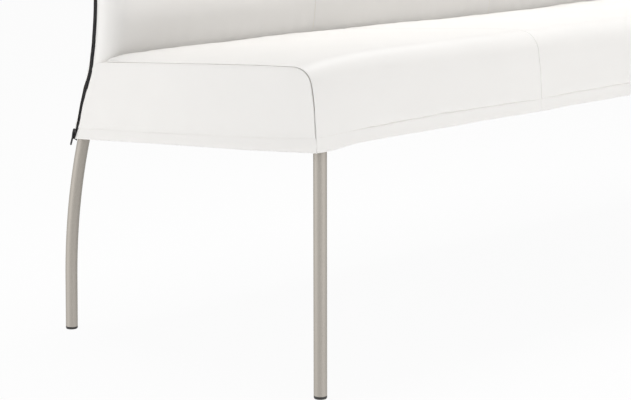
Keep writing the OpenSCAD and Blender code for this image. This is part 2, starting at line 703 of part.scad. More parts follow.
// Zips: tape and teeth on both sides of the slot
zip_start = slider_l / 8;
zip_end = cap_s(0, 0);
tape_x = cover_t + joint_gap * 2;
slot = slot_w / 2;
tape_reach_share = 0.15;
tape_reach = edge_n * tape_reach_share;
module zip_strip(x, t, n_1, n_2, low, high) side_plate(-half_l + x, t,
    concat(along(low, high, n_1), reversed(along(low, high, n_2))));
module tape(right, n_1, n_2) color(zip_color) right_side(right)
    zip_strip(tape_x, tape_t, n_1, n_2, zip_start, zip_end);
module zip_tape_front_left() tape(false, slot, edge_n + tape_reach);
module zip_tape_front_right() tape(true, slot, edge_n + tape_reach);
module zip_tape_rear_left() tape(false, -slot, -edge_n + soft_gap);
module zip_tape_rear_right() tape(true, -slot, -edge_n + soft_gap);
stop_l = coil_w;
coil_low = zip_start + stop_l + joint_gap;
coil_x = tape_x - coil_h;
module coil(right) color(zip_color) right_side(right) for (side = [-1, 1])
    zip_strip(coil_x, coil_h, side * slot, side * (slot + coil_w),
        coil_low, zip_end - stop_l - joint_gap);
module zip_coil_left() coil(false);
module zip_coil_right() coil(true);
module zip_stops() color(metal_color) for (right = [false, true]) right_side(right) {
    for (side = [-1, 1])
        on_zip(zip_start) translate([coil_x, side > 0 ? slot : -slot - coil_w, 0])
            cube([coil_h, coil_w, stop_l]);
    on_zip(zip_end - stop_l) translate([coil_x, -slot - coil_w, 0])
        cube([coil_h, 2 * (slot + coil_w), stop_l]);
}

// Slider: an outer plate with flanges over the teeth, a web in the slot, an inner plate
// behind the tape, and a bridge that holds the pull's pivot bar
slider_s = coil_low + slider_l / 2;
plate_top_x = coil_x - soft_gap;
web_t = slot_w / 3;
inner_x = tape_x + tape_t + soft_gap;
inner_t = slider_t * 0.7;
flange_y = slot + coil_w + soft_gap;
pivot_z = -slider_l / 16;
pivot_x = plate_top_x - slider_t - bridge_h / 3 - pivot_d / 4;
bridge_w = pull_w / 3;
bridge_wall = pivot_d * 0.6;
bridge_reach = 2.2 * pivot_d;
tail_w_share = 0.72;
module slider_plate(x, t, w) translate([x + t, 0, 0]) rotate([0, -90, 0])
    linear_extrude(height = t) polygon([
        [-slider_l / 2, -w * tail_w_share / 2], [0, -w / 2], [3 * slider_l / 8, -w / 2],
        [slider_l / 2, -w / 3], [slider_l / 2, w / 3], [3 * slider_l / 8, w / 2],
        [0, w / 2], [-slider_l / 2, w * tail_w_share / 2]
    ]);
module slider_body() {
    slider_plate(plate_top_x - slider_t, slider_t, slider_w);
    for (side = [-1, 1])
        translate([plate_top_x - joint_gap, side > 0 ? flange_y : -slider_w * tail_w_share / 2,
            -slider_l / 2])
            cube([coil_h, slider_w * tail_w_share / 2 - flange_y, 7 * slider_l / 8]);
    translate([plate_top_x - joint_gap, -web_t / 2, -slider_l / 4])
        cube([inner_x - plate_top_x + 2 * joint_gap, web_t, slider_l / 2]);
    slider_plate(inner_x, inner_t, slider_w * tail_w_share);
    difference() {
        translate([plate_top_x - slider_t - bridge_h, -bridge_w / 2,
            pivot_z - bridge_reach - bridge_wall])
            cube([bridge_h + joint_gap, bridge_w, 2 * (bridge_reach + bridge_wall)]);
        translate([plate_top_x - slider_t - bridge_h + bridge_wall, -bridge_w,
            pivot_z - bridge_reach])
            cube([bridge_h - bridge_wall, 2 * bridge_w, 2 * bridge_reach]);
    }
}
arm_l = bridge_reach + bridge_wall + pivot_d;
arm_gap = bridge_w + pivot_d / 3;
tab_t = 0.9 * pivot_d;
hole_d = pull_w / 2;
module pull_body() translate([pivot_x, 0, pivot_z]) {
    rotate([90, 0, 0]) cylinder(d = pivot_d, h = pull_w, center = true);
    difference() {
        translate([-tab_t / 2, -pull_w / 2, -pull_l + pull_w / 2])
            cube([tab_t, pull_w, pull_l - pull_w / 2]);
        translate([-pivot_d, -arm_gap / 2, -arm_l]) cube([2 * pivot_d, arm_gap, arm_l + pivot_d]);
        translate([0, 0, -pull_l + pull_w / 2]) rotate([0, 90, 0])
            cylinder(d = hole_d, h = 2 * pivot_d, center = true);
    }
    difference() {
        translate([0, 0, -pull_l + pull_w / 2]) rotate([0, 90, 0])
            cylinder(d = pull_w, h = tab_t, center = true);
        translate([0, 0, -pull_l + pull_w / 2]) rotate([0, 90, 0])
            cylinder(d = hole_d, h = 2 * pivot_d, center = true);
    }
}
module slider(right) color(zip_color) right_side(right) on_zip(slider_s) slider_body();
module zip_slider_left() slider(false);
module zip_slider_right() slider(true);
module pull(right) color(zip_color) right_side(right) on_zip(slider_s) pull_body();
module zip_pull_left() pull(false);
module zip_pull_right() pull(true);

front_leg_left();
front_leg_right();
rear_leg_left();
rear_leg_right();
glide_front_left();
glide_front_right();
glide_rear_left();
glide_rear_right();
leg_plate_front_left();
leg_plate_front_right();
leg_plate_rear_left();
leg_plate_rear_right();
leg_plate_screws();
front_rail();
rear_rail();
side_rail_left();
side_rail_right();
cross_rail_left();
cross_rail_right();
frame_screws();
seat_board();
seat_board_screws();
seat_foam();
dust_cover();
back_post_left();
back_post_inner_left();
back_post_inner_right();
back_post_right();
back_top_rail();
back_post_screws();
back_board();
back_foam();
back_lining();
seat_cover_left();
seat_cover_middle();
seat_cover_right();
side_panel_left();
side_panel_right();
side_wadding_left();
side_wadding_right();
hem_front();
hem_left();
hem_right();
hem_rear();
back_cover_left();
back_cover_inner_left();
back_cover_inner_right();
back_cover_right();
rear_panel();
zip_tape_front_left();
zip_tape_rear_left();
zip_tape_front_right();
zip_tape_rear_right();
zip_coil_left();
zip_coil_right();
zip_stops();
zip_slider_left();
zip_slider_right();
zip_pull_left();
zip_pull_right();
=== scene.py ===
import math

import bpy
import numpy as np
from mathutils import Matrix, Vector


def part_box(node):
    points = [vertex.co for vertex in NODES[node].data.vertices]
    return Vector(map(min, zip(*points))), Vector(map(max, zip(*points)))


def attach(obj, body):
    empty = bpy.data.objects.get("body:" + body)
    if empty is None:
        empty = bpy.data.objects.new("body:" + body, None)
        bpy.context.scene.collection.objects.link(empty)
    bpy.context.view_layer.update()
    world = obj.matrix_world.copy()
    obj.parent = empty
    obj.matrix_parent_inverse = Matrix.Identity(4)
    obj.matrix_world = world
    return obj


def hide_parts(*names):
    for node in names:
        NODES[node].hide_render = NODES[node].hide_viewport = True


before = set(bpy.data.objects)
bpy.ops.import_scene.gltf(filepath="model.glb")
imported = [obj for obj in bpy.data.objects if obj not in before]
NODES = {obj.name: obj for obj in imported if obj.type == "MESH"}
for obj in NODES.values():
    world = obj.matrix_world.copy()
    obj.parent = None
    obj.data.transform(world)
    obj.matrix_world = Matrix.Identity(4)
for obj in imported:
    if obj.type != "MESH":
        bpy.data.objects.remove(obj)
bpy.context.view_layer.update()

SCENE = bpy.context.scene

# Camera

# Fitted to the photo's own lines: focal length in its pixels, place in metres
PHOTO_W = 631
FOCAL_PX = 1837.3
SENSOR = 36
YAW, PITCH, ROLL = (math.radians(a) for a in (46.29, 11.07, 0.116))
CAMERA_AT = Vector((-2.8117, -2.0750, 0.8059))


def camera():
    data = bpy.data.cameras.new("photo_camera")
    obj = bpy.data.objects.new("photo_camera", data)
    SCENE.collection.objects.link(obj)
    data.sensor_width = SENSOR
    data.lens = FOCAL_PX * SENSOR / PHOTO_W
    data.clip_start, data.clip_end = 0.05, 60
    level = math.cos(PITCH)
    ahead = Vector((math.sin(YAW) * level, math.cos(YAW) * level, -math.sin(PITCH)))
    right = Vector((math.cos(YAW), -math.sin(YAW), 0))
    up = right.cross(ahead)
    turn = Matrix.Rotation(ROLL, 3, ahead)
    right, up = turn @ right, turn @ up
    m = Matrix((right, up, -ahead)).transposed().to_4x4()
    m.translation = CAMERA_AT
    obj.matrix_world = m
    SCENE.camera = obj


camera()

# Sizes, in metres

# As in the part's source, but for the front round, which follows the photo more closely
L = 1.912
BENCH_H = 0.95
FRAME_H = 0.392
SLOPE = math.radians(4.2)      # of the frame and the seat, down to the rear
SEAT_RUN = 0.549               # along the side, from the front to the zip at the hem
SEAT_T = 0.103                 # from the hem's crease to the seat's top at the side
HEM_H = 0.0215
CROWN_H, CROWN_RUN = 0.014, 0.050
FRONT_D, FRONT_H, FRONT_SQUARE = 0.045, 0.045, 1.3
FACE_D = FRONT_D * 0.3         # the part of the round that counts as the front face
FALL, FALL_RUN = 0.013, 0.034  # of the seat's top where it meets the back at the side
SEAT_SEAM, BACK_SEAM = 0.528, 0.463
ZIP_LEAN = math.radians(21.5)
BACK_LEAN = math.radians(12)
S1 = 0.104                     # straight part of the zip's path, from the hem
LUMBAR, SHOULDER = 0.4, 0.7    # radii of its two curves
BACK_FRONT, BACK_REAR, HEM_REAR = 0.041, 0.009, 0.0215
SIDE_ROUND, CORNER_R, TOP_ROUND = 0.032, 0.045, 0.026
TUCK = 0.012                   # how far the back's cover goes down behind the seat
ZIP_W = 0.010
EDGE_N = ZIP_W / 2             # front edge of the zip's plain band
COVER_T = 0.0015
GAP = 0.0003
RAIL_H = 0.040
FOAM_W = 0.0502                # underside of the seat's foam, above the frame's lower edge
SEAT_Y = float(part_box("hem_front")[0][1]) + HEM_H * math.sin(SLOPE)
REAR_BASE = HEM_REAR - EDGE_N
SIDES = ("left", "right")


def seat_pt(u, w):
    """A point u along the seat's side from the front and w up from the frame, as (y, z)."""
    return np.stack([
        SEAT_Y + u * math.cos(SLOPE) + w * math.sin(SLOPE),
        FRAME_H - u * math.sin(SLOPE) + w * math.cos(SLOPE)], -1)


def seat_u(p):
    return (p[..., 0] - SEAT_Y) * math.cos(SLOPE) - (p[..., 1] - FRAME_H) * math.sin(SLOPE)


def seat_w(p):
    return (p[..., 0] - SEAT_Y) * math.sin(SLOPE) + (p[..., 1] - FRAME_H) * math.cos(SLOPE)


def toward_front(a):
    return np.stack([-np.cos(a), -np.sin(a)], -1)


def upward(a):
    return np.stack([-np.sin(a), np.cos(a)], -1)


# The zip's path from the hem up is a straight line, a curve forward, a curve to the rear and
# a straight line: P is where each begins, C a curve's centre, S the length up to there
P0 = seat_pt(np.float64(SEAT_RUN), np.float64(-HEM_H))
P1 = P0 + S1 * upward(ZIP_LEAN)
C1 = P1 - LUMBAR * toward_front(ZIP_LEAN)
P2 = C1 + LUMBAR * toward_front(0.0)
C2 = P2 - SHOULDER * toward_front(0.0)
P3 = C2 + SHOULDER * toward_front(-BACK_LEAN)
S2 = S1 + LUMBAR * ZIP_LEAN
S3 = S2 + SHOULDER * BACK_LEAN
S_TOP = float(S3 + (BENCH_H - P3[1]) / math.cos(BACK_LEAN))


def lean(s):
    """How far the zip's path leans to the front at s, as an angle."""
    s = np.asarray(s, float)
    return np.where(s < S1, ZIP_LEAN, np.where(
        s < S2, ZIP_LEAN - (s - S1) / LUMBAR, np.where(s < S3, -(s - S2) / SHOULDER, -BACK_LEAN)))


def on_line(s, n):
    """A point s up the zip's path and n toward the front of it, as (y, z)."""
    s, n = np.broadcast_arrays(np.asarray(s, float), np.asarray(n, float))
    a = lean(s)
    f = toward_front(a)
    e = s[..., None]
    top = P3 + (e - S3) * upward(-BACK_LEAN)
    p = np.where(e < S1, P0 + e * upward(ZIP_LEAN), np.where(
        e < S2, C1 + LUMBAR * f, np.where(e < S3, C2 + SHOULDER * f, top)))
    return p + n[..., None] * f


def along(x, yz):
    """Points in the room from x along the bench and (y, z)."""
    return np.stack([x - L / 2 + 0 * yz[..., 0], yz[..., 0], yz[..., 1]], -1)


def rise_to(w, n):
    """How far up the zip's path, n toward the front of it, the height w over the frame is met."""
    w, n = np.broadcast_arrays(np.asarray(w, float), np.asarray(n, float))
    low, high = np.full(w.shape, -0.08), np.full(w.shape, S_TOP)
    for _ in range(30):
        mid = (low + high) / 2
        over = seat_w(on_line(mid, n)) > w
        high = np.where(over, mid, high)
        low = np.where(over, low, mid)
    return (low + high) / 2


def share(d, r):
    """A quarter circle's rise: 0 at its start, 1 from r on."""
    k = np.clip(np.asarray(d, float) / np.asarray(r, float), 0, 1)
    return np.sqrt(np.clip(1 - (1 - k) ** 2, 0, 1))


def grown(d, reach):
    """0 at d = 0, growing toward 1 over that reach."""
    return 1 - np.exp(-d / reach)


def mirrored(x):
    """Distance from the nearer side of the bench."""
    return np.minimum(x, L - x)


def bump_at(x, place, wide):
    return np.exp(-((x - place) / wide) ** 2)


def rear_depth(s):
    return BACK_REAR + (HEM_REAR - BACK_REAR) * np.maximum(0, 1 - np.asarray(s, float) / S1)


def crown(x):
    return CROWN_H * grown(mirrored(x), CROWN_RUN)


def seat_dip(x):
    m = mirrored(x)
    return 0.0012 * bump_at(m, SEAT_SEAM, 0.010) + 0.0006 * bump_at(m, SEAT_SEAM, 0.003)


def back_dip(x):
    m = mirrored(x)
    return 0.0016 * (bump_at(m, BACK_SEAM, 0.012) + bump_at(m, L / 2, 0.012))


# The zip's centre runs a little to the front of its plain path, with a kink at the seat,
# and less of it shows lower down: its shift and half width at places up the path
ZIP_S = np.array([8, 16.5, 24, 34, 44.5, 55, 65.5, 76.5, 87.5,
                  99, 109.5, 121, 131, 141, 151, 171, 181, 200]) / 1000
ZIP_SHIFT = np.array([0, 1.0, 2.3, 3.1, 1.9, 1.2, 0.3, 0.55, 1.15,
                      1.95, 3.4, 3.7, 3.7, 2.7, 1.75, 1.3, 0.4, 0]) / 1000
HALF_S = np.array([0.02, 0.035, 0.075, 0.095, 0.15, 0.3])
HALF_N = np.array([3.0, 3.1, 3.4, 4.3, 4.5, 4.2]) / 1000
# How much higher than plain the seat meets the back at places from the side, and over
# which run of the seat it rises to that
LIFT_RUN = 0.12
LIFT_X = np.array([0, 2.7, 4.5, 6.5, 10, 22, 36, 50, 65, 97, 128, 160]) / 1000
LIFT_W = np.array([-2.5, -2.5, 1.0, 4.0, 5.2, 5.4, 4.2, 2.2, 1.6, 1.2, 0.6, 0]) / 1000


def soft_interp(x, xs, ys, reach=0.004, count=5):
    """Interpolation with rounded corners, by averaging over a short window."""
    x = np.asarray(x, float)
    return sum(np.interp(x + d, xs, ys) for d in np.linspace(-reach, reach, count)) / count


def zip_shift(s):
    return soft_interp(s, ZIP_S, ZIP_SHIFT)


def zip_half(s):
    return soft_interp(s, HALF_S, HALF_N)


def edge_front(s):
    return zip_shift(s) + zip_half(s)


def edge_rear(s):
    """The rear cover's edge, with room for the slider at the top of its travel."""
    return zip_shift(s) - zip_half(s) - 0.0010 * bump_at(s, 0.0955, 0.014)


def front_n(x, q=0.0):
    """The back's front surface, q inside its skin, as a distance from the zip's path."""
    full = BACK_FRONT - q - EDGE_N - back_dip(x)
    return EDGE_N + full * share(mirrored(x) - q, SIDE_ROUND - q)


def rear_run(s):
    """The rear corner's slant: its length over its depth, less beside the posts' feet."""
    return np.interp(s, [0, 0.020, 0.024, 0.030, 0.035, 0.048],
                     [1.25, 1.04, 1.04, 1.10, 1.16, 1.25])


def rear_n(x, s, q=0.0):
    """The rear panel's surface, as a distance from the zip's path."""
    edge = edge_rear(s)
    deep = rear_depth(s) - q + edge
    return edge - deep * slant((mirrored(x) - q) / (rear_run(s) * (rear_depth(s) - EDGE_N)))


def slant(k):
    """A straight rise from 0 to 1 with rounded ends."""
    k = np.clip(k, 0, 1.15)
    rounded = 0.85 + 0.15 * np.sin(np.clip((k - 0.85) / 0.30, 0, 1) * math.pi / 2)
    return np.where(k < 0.85, k, rounded)


def half_depth(x, q=0.0):
    return (front_n(x, q) - rear_n(x, S_TOP, q)) / 2


def cap_h(x, q=0.0):
    return TOP_ROUND * half_depth(x, q) / half_depth(np.float64(L / 2), q)


def cap_s(x, q=0.0):
    """Where the back's rounded top edge begins."""
    return S_TOP - q - CORNER_R * (1 - share(mirrored(x) - q, CORNER_R - q)) - cap_h(x, q)


def seam_drop(x):
    return FALL * (1 - share(mirrored(x), SIDE_ROUND))


def seat_top(x, q=0.0):
    return SEAT_T + crown(x) - seat_dip(x) - q


def end_lift(x):
    """How much higher the seat meets the back near its sides."""
    return soft_interp(mirrored(x), LIFT_X, LIFT_W, 0.0008)


def seat_end_w(x, q=0.0):
    return seat_top(x, q) - seam_drop(x) + end_lift(x)


def seat_end_u(x, q=0.0):
    n = front_n(x) + GAP
    return seat_u(on_line(rise_to(seat_end_w(x, q), n), n))


def zip_edge(w):
    """Where a piece of the cover at height w ends in front of the zip, as (y, z)."""
    n = edge_front(rise_to(w, EDGE_N)) + GAP
    return on_line(rise_to(w, n), n)


def hem_end(w):
    """How far along the side, at height w, the cover ends at the zip."""
    return seat_u(zip_edge(np.array([w])))[0]


# Lines measured in the photo, as heights over their plain level: the crease above the hem
# and the hem's edge along the side, the seat's top toward the rear, and both front lines
SIDE_Y = np.array([-0.02, 0.0135, 0.116, 0.224, 0.338, 0.42, 0.50, 0.56]) + 0.0195
SIDE_CREASE = np.array([0.8, 0.0, -2.2, -2.4, -2.5, -1.4, -1.4, -1.2]) / 1000
SIDE_HEM = np.array([0.3, 0.2, -0.6, 0.3, 1.2, 1.3, 1.6, 1.8]) / 1000
TOP_U = np.array([0, 0.03, 0.045, 0.07, 0.12, 0.2, 0.3, 0.4, 0.48])
TOP_RISE = np.array([-2.0, -1.3, -0.7, 0.1, 1.0, 1.8, 2.4, 2.8, 3.1]) / 1000
FRONT_X = np.array([0, 0.03, 0.06, 0.09, 0.15, 0.278, 0.40, 0.528, 0.588, 0.72, 0.956])
FRONT_CREASE = np.array([0.8, 1.2, 2.4, 3.3, 4.6, 6.2, 5.0, 3.4, 5.0, 5.6, 5.4]) / 1000
FRONT_HEM = np.array([0.5, 0.2, 3.0, 5.6, 5.6, 5.2, 5.9, 4.6, 5.6, 5.4, 5.6]) / 1000


def smooth_interp(x, xs, ys):
    return soft_interp(x, xs, ys, 0.02, 9)


def top_rise(u):
    """Rise of the seat's top from the front to the rear, over its level at the front."""
    return smooth_interp(u, TOP_U, TOP_RISE)


def front_fall(x, u):
    """How far the top falls toward the front, away from the sides, and its middle hollow."""
    near_h, near_run = 0.0012, 0.15
    hollow_h, hollow_x, hollow_half = 0.0030, 0.90, 0.14
    near = near_h * np.clip(1 - u / near_run, 0, 1) ** 2
    hollow = hollow_h * bump_at(x, hollow_x, hollow_half) * np.clip((u - 0.20) / 0.25, 0, 1)
    return (near + hollow) * grown(mirrored(x), 0.06)


def corner_ease(x):
    """How far the front rounds off toward the sides."""
    return 0.0010 * np.exp(-mirrored(x) / 0.004)


def round_ease(w):
    """How far the front round's middle lies back at the height w."""
    return 0.0016 * bump_at(w, 0.070, 0.014)


def front_crease(x):
    m = mirrored(x)
    small = np.sin(m * 71 + 0.8) * 0.6 + np.sin(m * 163) * 0.4
    return smooth_interp(m, FRONT_X, FRONT_CREASE) + 0.0004 * small * np.clip(m / 0.1, 0, 1)


def front_hem(x):
    return smooth_interp(mirrored(x), FRONT_X, FRONT_HEM)


def side_crease(u):
    return smooth_interp(u, SIDE_Y, SIDE_CREASE)


def side_hem(u):
    return smooth_interp(u, SIDE_Y, SIDE_HEM)


def front_fold(x):
    """How crisp the crease is along the front: none over the leg, less by the seat's seam."""
    m = mirrored(x)
    strength = 0.72 + 0.2 * np.sin(m * 43 + 1.1) + 0.08 * np.sin(m * 117)
    return strength * np.clip((m - 0.055) / 0.06, 0, 1) * (1 - 0.65 * bump_at(m, 0.535, 0.035))


def side_fold(u):
    """How crisp the crease is along the side: faint, and fainter toward the front."""
    return (0.16 + 0.06 * np.sin(u * 21 + 1) + 0.04 * np.sin(u * 57)) * np.clip(u / 0.16, 0.15, 1)


def waves(x, y, seed, size, count=7):
    """Smooth pseudo-random field of about unit height, with features of that size."""
    rng = np.random.default_rng(seed)
    out = 0
    for _ in range(count):
        a = rng.uniform(0, 2 * math.pi)
        k = 2 * math.pi / (size * rng.uniform(0.7, 1.8))
        out = out + np.sin(k * (x * math.cos(a) + y * math.sin(a)) + rng.uniform(0, 2 * math.pi))
    return out / math.sqrt(count)


# Materials


def srgb(*c):
    return tuple(((v / 255 + 0.055) / 1.055) ** 2.4 for v in c) + (1.0,)


def new_material(name, color, rough, metal=0.0):
    m = bpy.data.materials.new(name)
    m.use_nodes = True
    b = m.node_tree.nodes["Principled BSDF"]
    b.inputs["Base Color"].default_value = color
    b.inputs["Roughness"].default_value = rough
    b.inputs["Metallic"].default_value = metal
    return m, m.node_tree.nodes, m.node_tree.links, b


def add_node(nodes, kind, **props):
    """A node with its sockets or settings set by name."""
    n = nodes.new(kind)
    for k, v in props.items():
        if k in n.inputs:
            n.inputs[k].default_value = v
        else:
            setattr(n, k, v)
    return n


def coords(nodes, links, scale=(1, 1, 1)):
    tc = nodes.new("ShaderNodeTexCoord")
    mp = nodes.new("ShaderNodeMapping")
    mp.inputs["Scale"].default_value = scale
    links.new(tc.outputs["Object"], mp.inputs["Vector"])
    return mp.outputs["Vector"]


def bump_chain(nodes, links, bsdf, layers):
    """Adds bumps in a row, each (height socket, strength, distance in metres)."""
    last = None
    for height, strength, distance in layers:
        b = add_node(nodes, "ShaderNodeBump", Strength=strength, Distance=distance)
        links.new(height, b.inputs["Height"])
        if last:
            links.new(last, b.inputs["Normal"])
        last = b.outputs["Normal"]
    links.new(last, bsdf.inputs["Normal"])


def blotches(nodes, links, bsdf, color, other, fac):
    """Base colour that wanders between two by a texture's value."""
    mix = add_node(nodes, "ShaderNodeMix", data_type="RGBA")
    mix.inputs["A"].default_value = color
    mix.inputs["B"].default_value = other
    links.new(fac, mix.inputs["Factor"])
    links.new(mix.outputs["Result"], bsdf.inputs["Base Color"])


def leather(name, color, rough=0.46):
    """Smooth artificial leather: pores under a millimetre and a slow unevenness."""
    m, nodes, links, b = new_material(name, color, rough)
    b.inputs["Specular IOR Level"].default_value = 0.4
    v = coords(nodes, links)
    pores = add_node(nodes, "ShaderNodeTexVoronoi", Scale=700.0, feature="DISTANCE_TO_EDGE")
    fine = add_node(nodes, "ShaderNodeTexNoise", Scale=420.0, Detail=4.0)
    slow = add_node(nodes, "ShaderNodeTexNoise", Scale=9.0, Detail=2.0)
    for t in (pores, fine, slow):
        links.new(v, t.inputs["Vector"])
    ramp = nodes.new("ShaderNodeValToRGB")
    ramp.color_ramp.elements[0].position = 0.0
    ramp.color_ramp.elements[1].position = 0.12
    links.new(pores.outputs["Distance"], ramp.inputs["Fac"])
    darker = tuple(c * 0.965 for c in color[:3]) + (1,)
    blotches(nodes, links, b, color, darker, slow.outputs["Fac"])
    bump_chain(nodes, links, b, [
        (slow.outputs["Fac"], 0.25, 0.002),
        (ramp.outputs["Color"], 0.30, 0.00006),
        (fine.outputs["Fac"], 0.25, 0.00008)])
    return m


def brushed(name, color, rough):
    """Metal with fine upright streaks in its roughness and bump."""
    m, nodes, links, b = new_material(name, color, rough, 1.0)
    v = coords(nodes, links, (260, 260, 5))
    streak = add_node(nodes, "ShaderNodeTexNoise", Scale=6.0, Detail=5.0, Roughness=0.6)
    links.new(v, streak.inputs["Vector"])
    ramp = add_node(nodes, "ShaderNodeMapRange")
    ramp.inputs["To Min"].default_value = rough - 0.07
    ramp.inputs["To Max"].default_value = rough + 0.1
    links.new(streak.outputs["Fac"], ramp.inputs["Value"])
    links.new(ramp.outputs["Result"], b.inputs["Roughness"])
    bump_chain(nodes, links, b, [(streak.outputs["Fac"], 0.08, 0.0003)])
    return m


def plain(name, color, rough, metal=0.0, scale=300.0, strength=0.15, distance=0.0002):
    """One colour with a fine uneven surface."""
    m, nodes, links, b = new_material(name, color, rough, metal)
    v = coords(nodes, links)
    t = add_node(nodes, "ShaderNodeTexNoise", Scale=scale, Detail=4.0)
    links.new(v, t.inputs["Vector"])
    bump_chain(nodes, links, b, [(t.outputs["Fac"], strength, distance)])
    return m


WAVE_REPEAT = 0.314            # of a wave texture with a scale of 1


def woven(name, color, pitch=0.0005, rough=0.85):
    """A tight weave of threads across and up the zip."""
    m, nodes, links, b = new_material(name, color, rough)
    v = coords(nodes, links)
    mul = add_node(nodes, "ShaderNodeMath", operation="MULTIPLY")
    for axis, socket in zip(("Y", "Z"), mul.inputs):
        w = add_node(nodes, "ShaderNodeTexWave", Scale=WAVE_REPEAT / pitch, bands_direction=axis)
        links.new(v, w.inputs["Vector"])
        links.new(w.outputs["Fac"], socket)
    bump_chain(nodes, links, b, [(mul.outputs["Value"], 0.5, 0.0002)])
    return m


def timber(name, color, dark):
    """Wood with its grain along the bench."""
    m, nodes, links, b = new_material(name, color, 0.62)
    v = coords(nodes, links, (3, 60, 60))
    t = add_node(nodes, "ShaderNodeTexNoise", Scale=5.0, Detail=6.0, Distortion=1.2)
    links.new(v, t.inputs["Vector"])
    blotches(nodes, links, b, color, dark, t.outputs["Fac"])
    bump_chain(nodes, links, b, [(t.outputs["Fac"], 0.2, 0.0004)])
    return m


COVER = leather("cover_leather", srgb(244, 242, 239))
STEEL = brushed("brushed_steel", srgb(167, 162, 155), 0.65)
PLATE = plain("plate_steel", srgb(120, 118, 115), 0.45, 1.0)
SCREW = plain("screw_steel", srgb(170, 165, 150), 0.35, 1.0)
CAP = plain("glide_black", srgb(44, 42, 41), 0.55)
TAPE = woven("zip_tape_black", srgb(34, 33, 34))
TEETH = plain("zip_teeth_black", srgb(30, 29, 31), 0.35)
ZIP_METAL = plain("zip_metal_black", srgb(40, 39, 40), 0.32, 0.6, 900, 0.1, 0.00005)
WOOD = timber("rail_timber", srgb(205, 172, 128), srgb(176, 138, 92))
PLY = timber("board_plywood", srgb(214, 184, 142), srgb(190, 156, 112))
FOAM = plain("seat_foam", srgb(238, 226, 178), 0.95, 0.0, 900, 0.6, 0.0006)
FELT = plain("grey_felt", srgb(88, 88, 90), 0.95, 0.0, 700, 0.5, 0.0004)
WADDING = plain("white_wadding", srgb(236, 236, 234), 0.95, 0.0, 260, 0.6, 0.001)


# Meshes


def add_object(name, verts, faces, mat, smooth=True):
    me = bpy.data.meshes.new(name)
    me.from_pydata([tuple(v) for v in verts], [], faces)
    me.materials.append(mat)
    if smooth:
        me.polygons.foreach_set("use_smooth", [True] * len(me.polygons))
    me.update()
    obj = bpy.data.objects.new(name, me)
    SCENE.collection.objects.link(obj)
    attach(obj, "bench")
    return obj


def grid_faces(n, m, base=0, flip=False, around=False):
    """Quads of an n by m grid of points, closed in the second direction if around."""
    faces = []
    for i in range(n - 1):
        for j in range(m if around else m - 1):
            a, b = base + i * m + j, base + i * m + (j + 1) % m
            q = (a, b, b + m, a + m)
            faces.append(q[::-1] if flip else q)
    return faces


def grid(name, pts, mat, flip=False, **more):
    n, m = pts.shape[:2]
    return add_object(name, pts.reshape(-1, 3), grid_faces(n, m, flip=flip), mat, **more)


def tube_grid(name, pts, mat, flip=False, **more):
    """A closed solid of rings: pts is (rings, points round each, 3), with flat ends."""
    n, m = pts.shape[:2]
    faces = grid_faces(n, m, flip=flip, around=True)
    ends = [tuple(range(m))[::-1], tuple((n - 1) * m + j for j in range(m))]
    faces += [e[::-1] if flip else e for e in ends]
    return add_object(name, pts.reshape(-1, 3), faces, mat, **more)


def spaced(a, b, step):
    """Numbers from a to b, about a step apart."""
    return list(np.linspace(a, b, max(2, int(round((b - a) / step)) + 1)))


def flipped(pts, right):
    """Points of the left side, or their mirror image for the right side."""
    return pts * [-1, 1, 1] if right else pts


# Cross-sections of the covers' edges and seams: for each row its distance from the side or
# the seam, and how far in it lies (q); the first is the rolled seam along the seat's sides
ROLL_IN = np.array([2.7, 2.1, 1.6, 1.3, 1.2, 1.35, 1.7, 2.2]) / 1000
ROLL_DOWN = np.array([2.7, 1.7, 1.1, 0.75, 0.45, 0.2, 0.06, 0.0]) / 1000
SEAT_EDGE = list(ROLL_IN) + [0.0032, 0.0048, 0.008]
SEAT_EDGE_Q = list(ROLL_DOWN) + [0, 0, 0]
BACK_EDGE = [0.0011, 0.0006, 0.0002, 0.0001, 0.0004, 0.001, 0.002, 0.0035, 0.0055, 0.008]
BACK_EDGE_Q = [0.0024, 0.0016, 0.0008, 0.0003, 0.00006, 0, 0, 0, 0, 0]
NEAR_SEAM = [0.00015, 0.0003, 0.0007, 0.0014, 0.0024, 0.004, 0.006, 0.009]
NEAR_SEAM_Q = [0.0028, 0.0014, 0.0006, 0.0002, 0.00005, 0, 0, 0]


def between(a, b, step=0.007):
    """(x, q) of the rows of a section between the seams at a and b."""
    mid = spaced(a + 0.014, b - 0.014, step)
    return (np.array([a + d for d in NEAR_SEAM] + mid + [b - d for d in NEAR_SEAM[::-1]]),
            np.array(NEAR_SEAM_Q + [0] * len(mid) + NEAR_SEAM_Q[::-1]))


def end_rows(edge, edge_q, seam, step=0.007):
    """(x, q) of the rows from the bench's left side to its first seam."""
    mid = spaced(edge[-1] + 0.004, seam - 0.014, step)
    return (np.array(edge + mid + [seam - d for d in NEAR_SEAM[::-1]]),
            np.array(edge_q + [0] * len(mid) + NEAR_SEAM_Q[::-1]))


def mirrored_rows(rows):
    return L - rows[0][::-1], rows[1][::-1]


SEAT_SECTIONS = {
    "left": end_rows(SEAT_EDGE, SEAT_EDGE_Q, SEAT_SEAM),
    "middle": between(SEAT_SEAM, L - SEAT_SEAM),
    "right": mirrored_rows(end_rows(SEAT_EDGE, SEAT_EDGE_Q, SEAT_SEAM)),
}
BACK_SECTIONS = {
    "left": end_rows(BACK_EDGE, BACK_EDGE_Q, BACK_SEAM),
    "inner_left": between(BACK_SEAM, L / 2),
    "inner_right": mirrored_rows(between(BACK_SEAM, L / 2)),
    "right": mirrored_rows(end_rows(BACK_EDGE, BACK_EDGE_Q, BACK_SEAM)),
}


# Seat


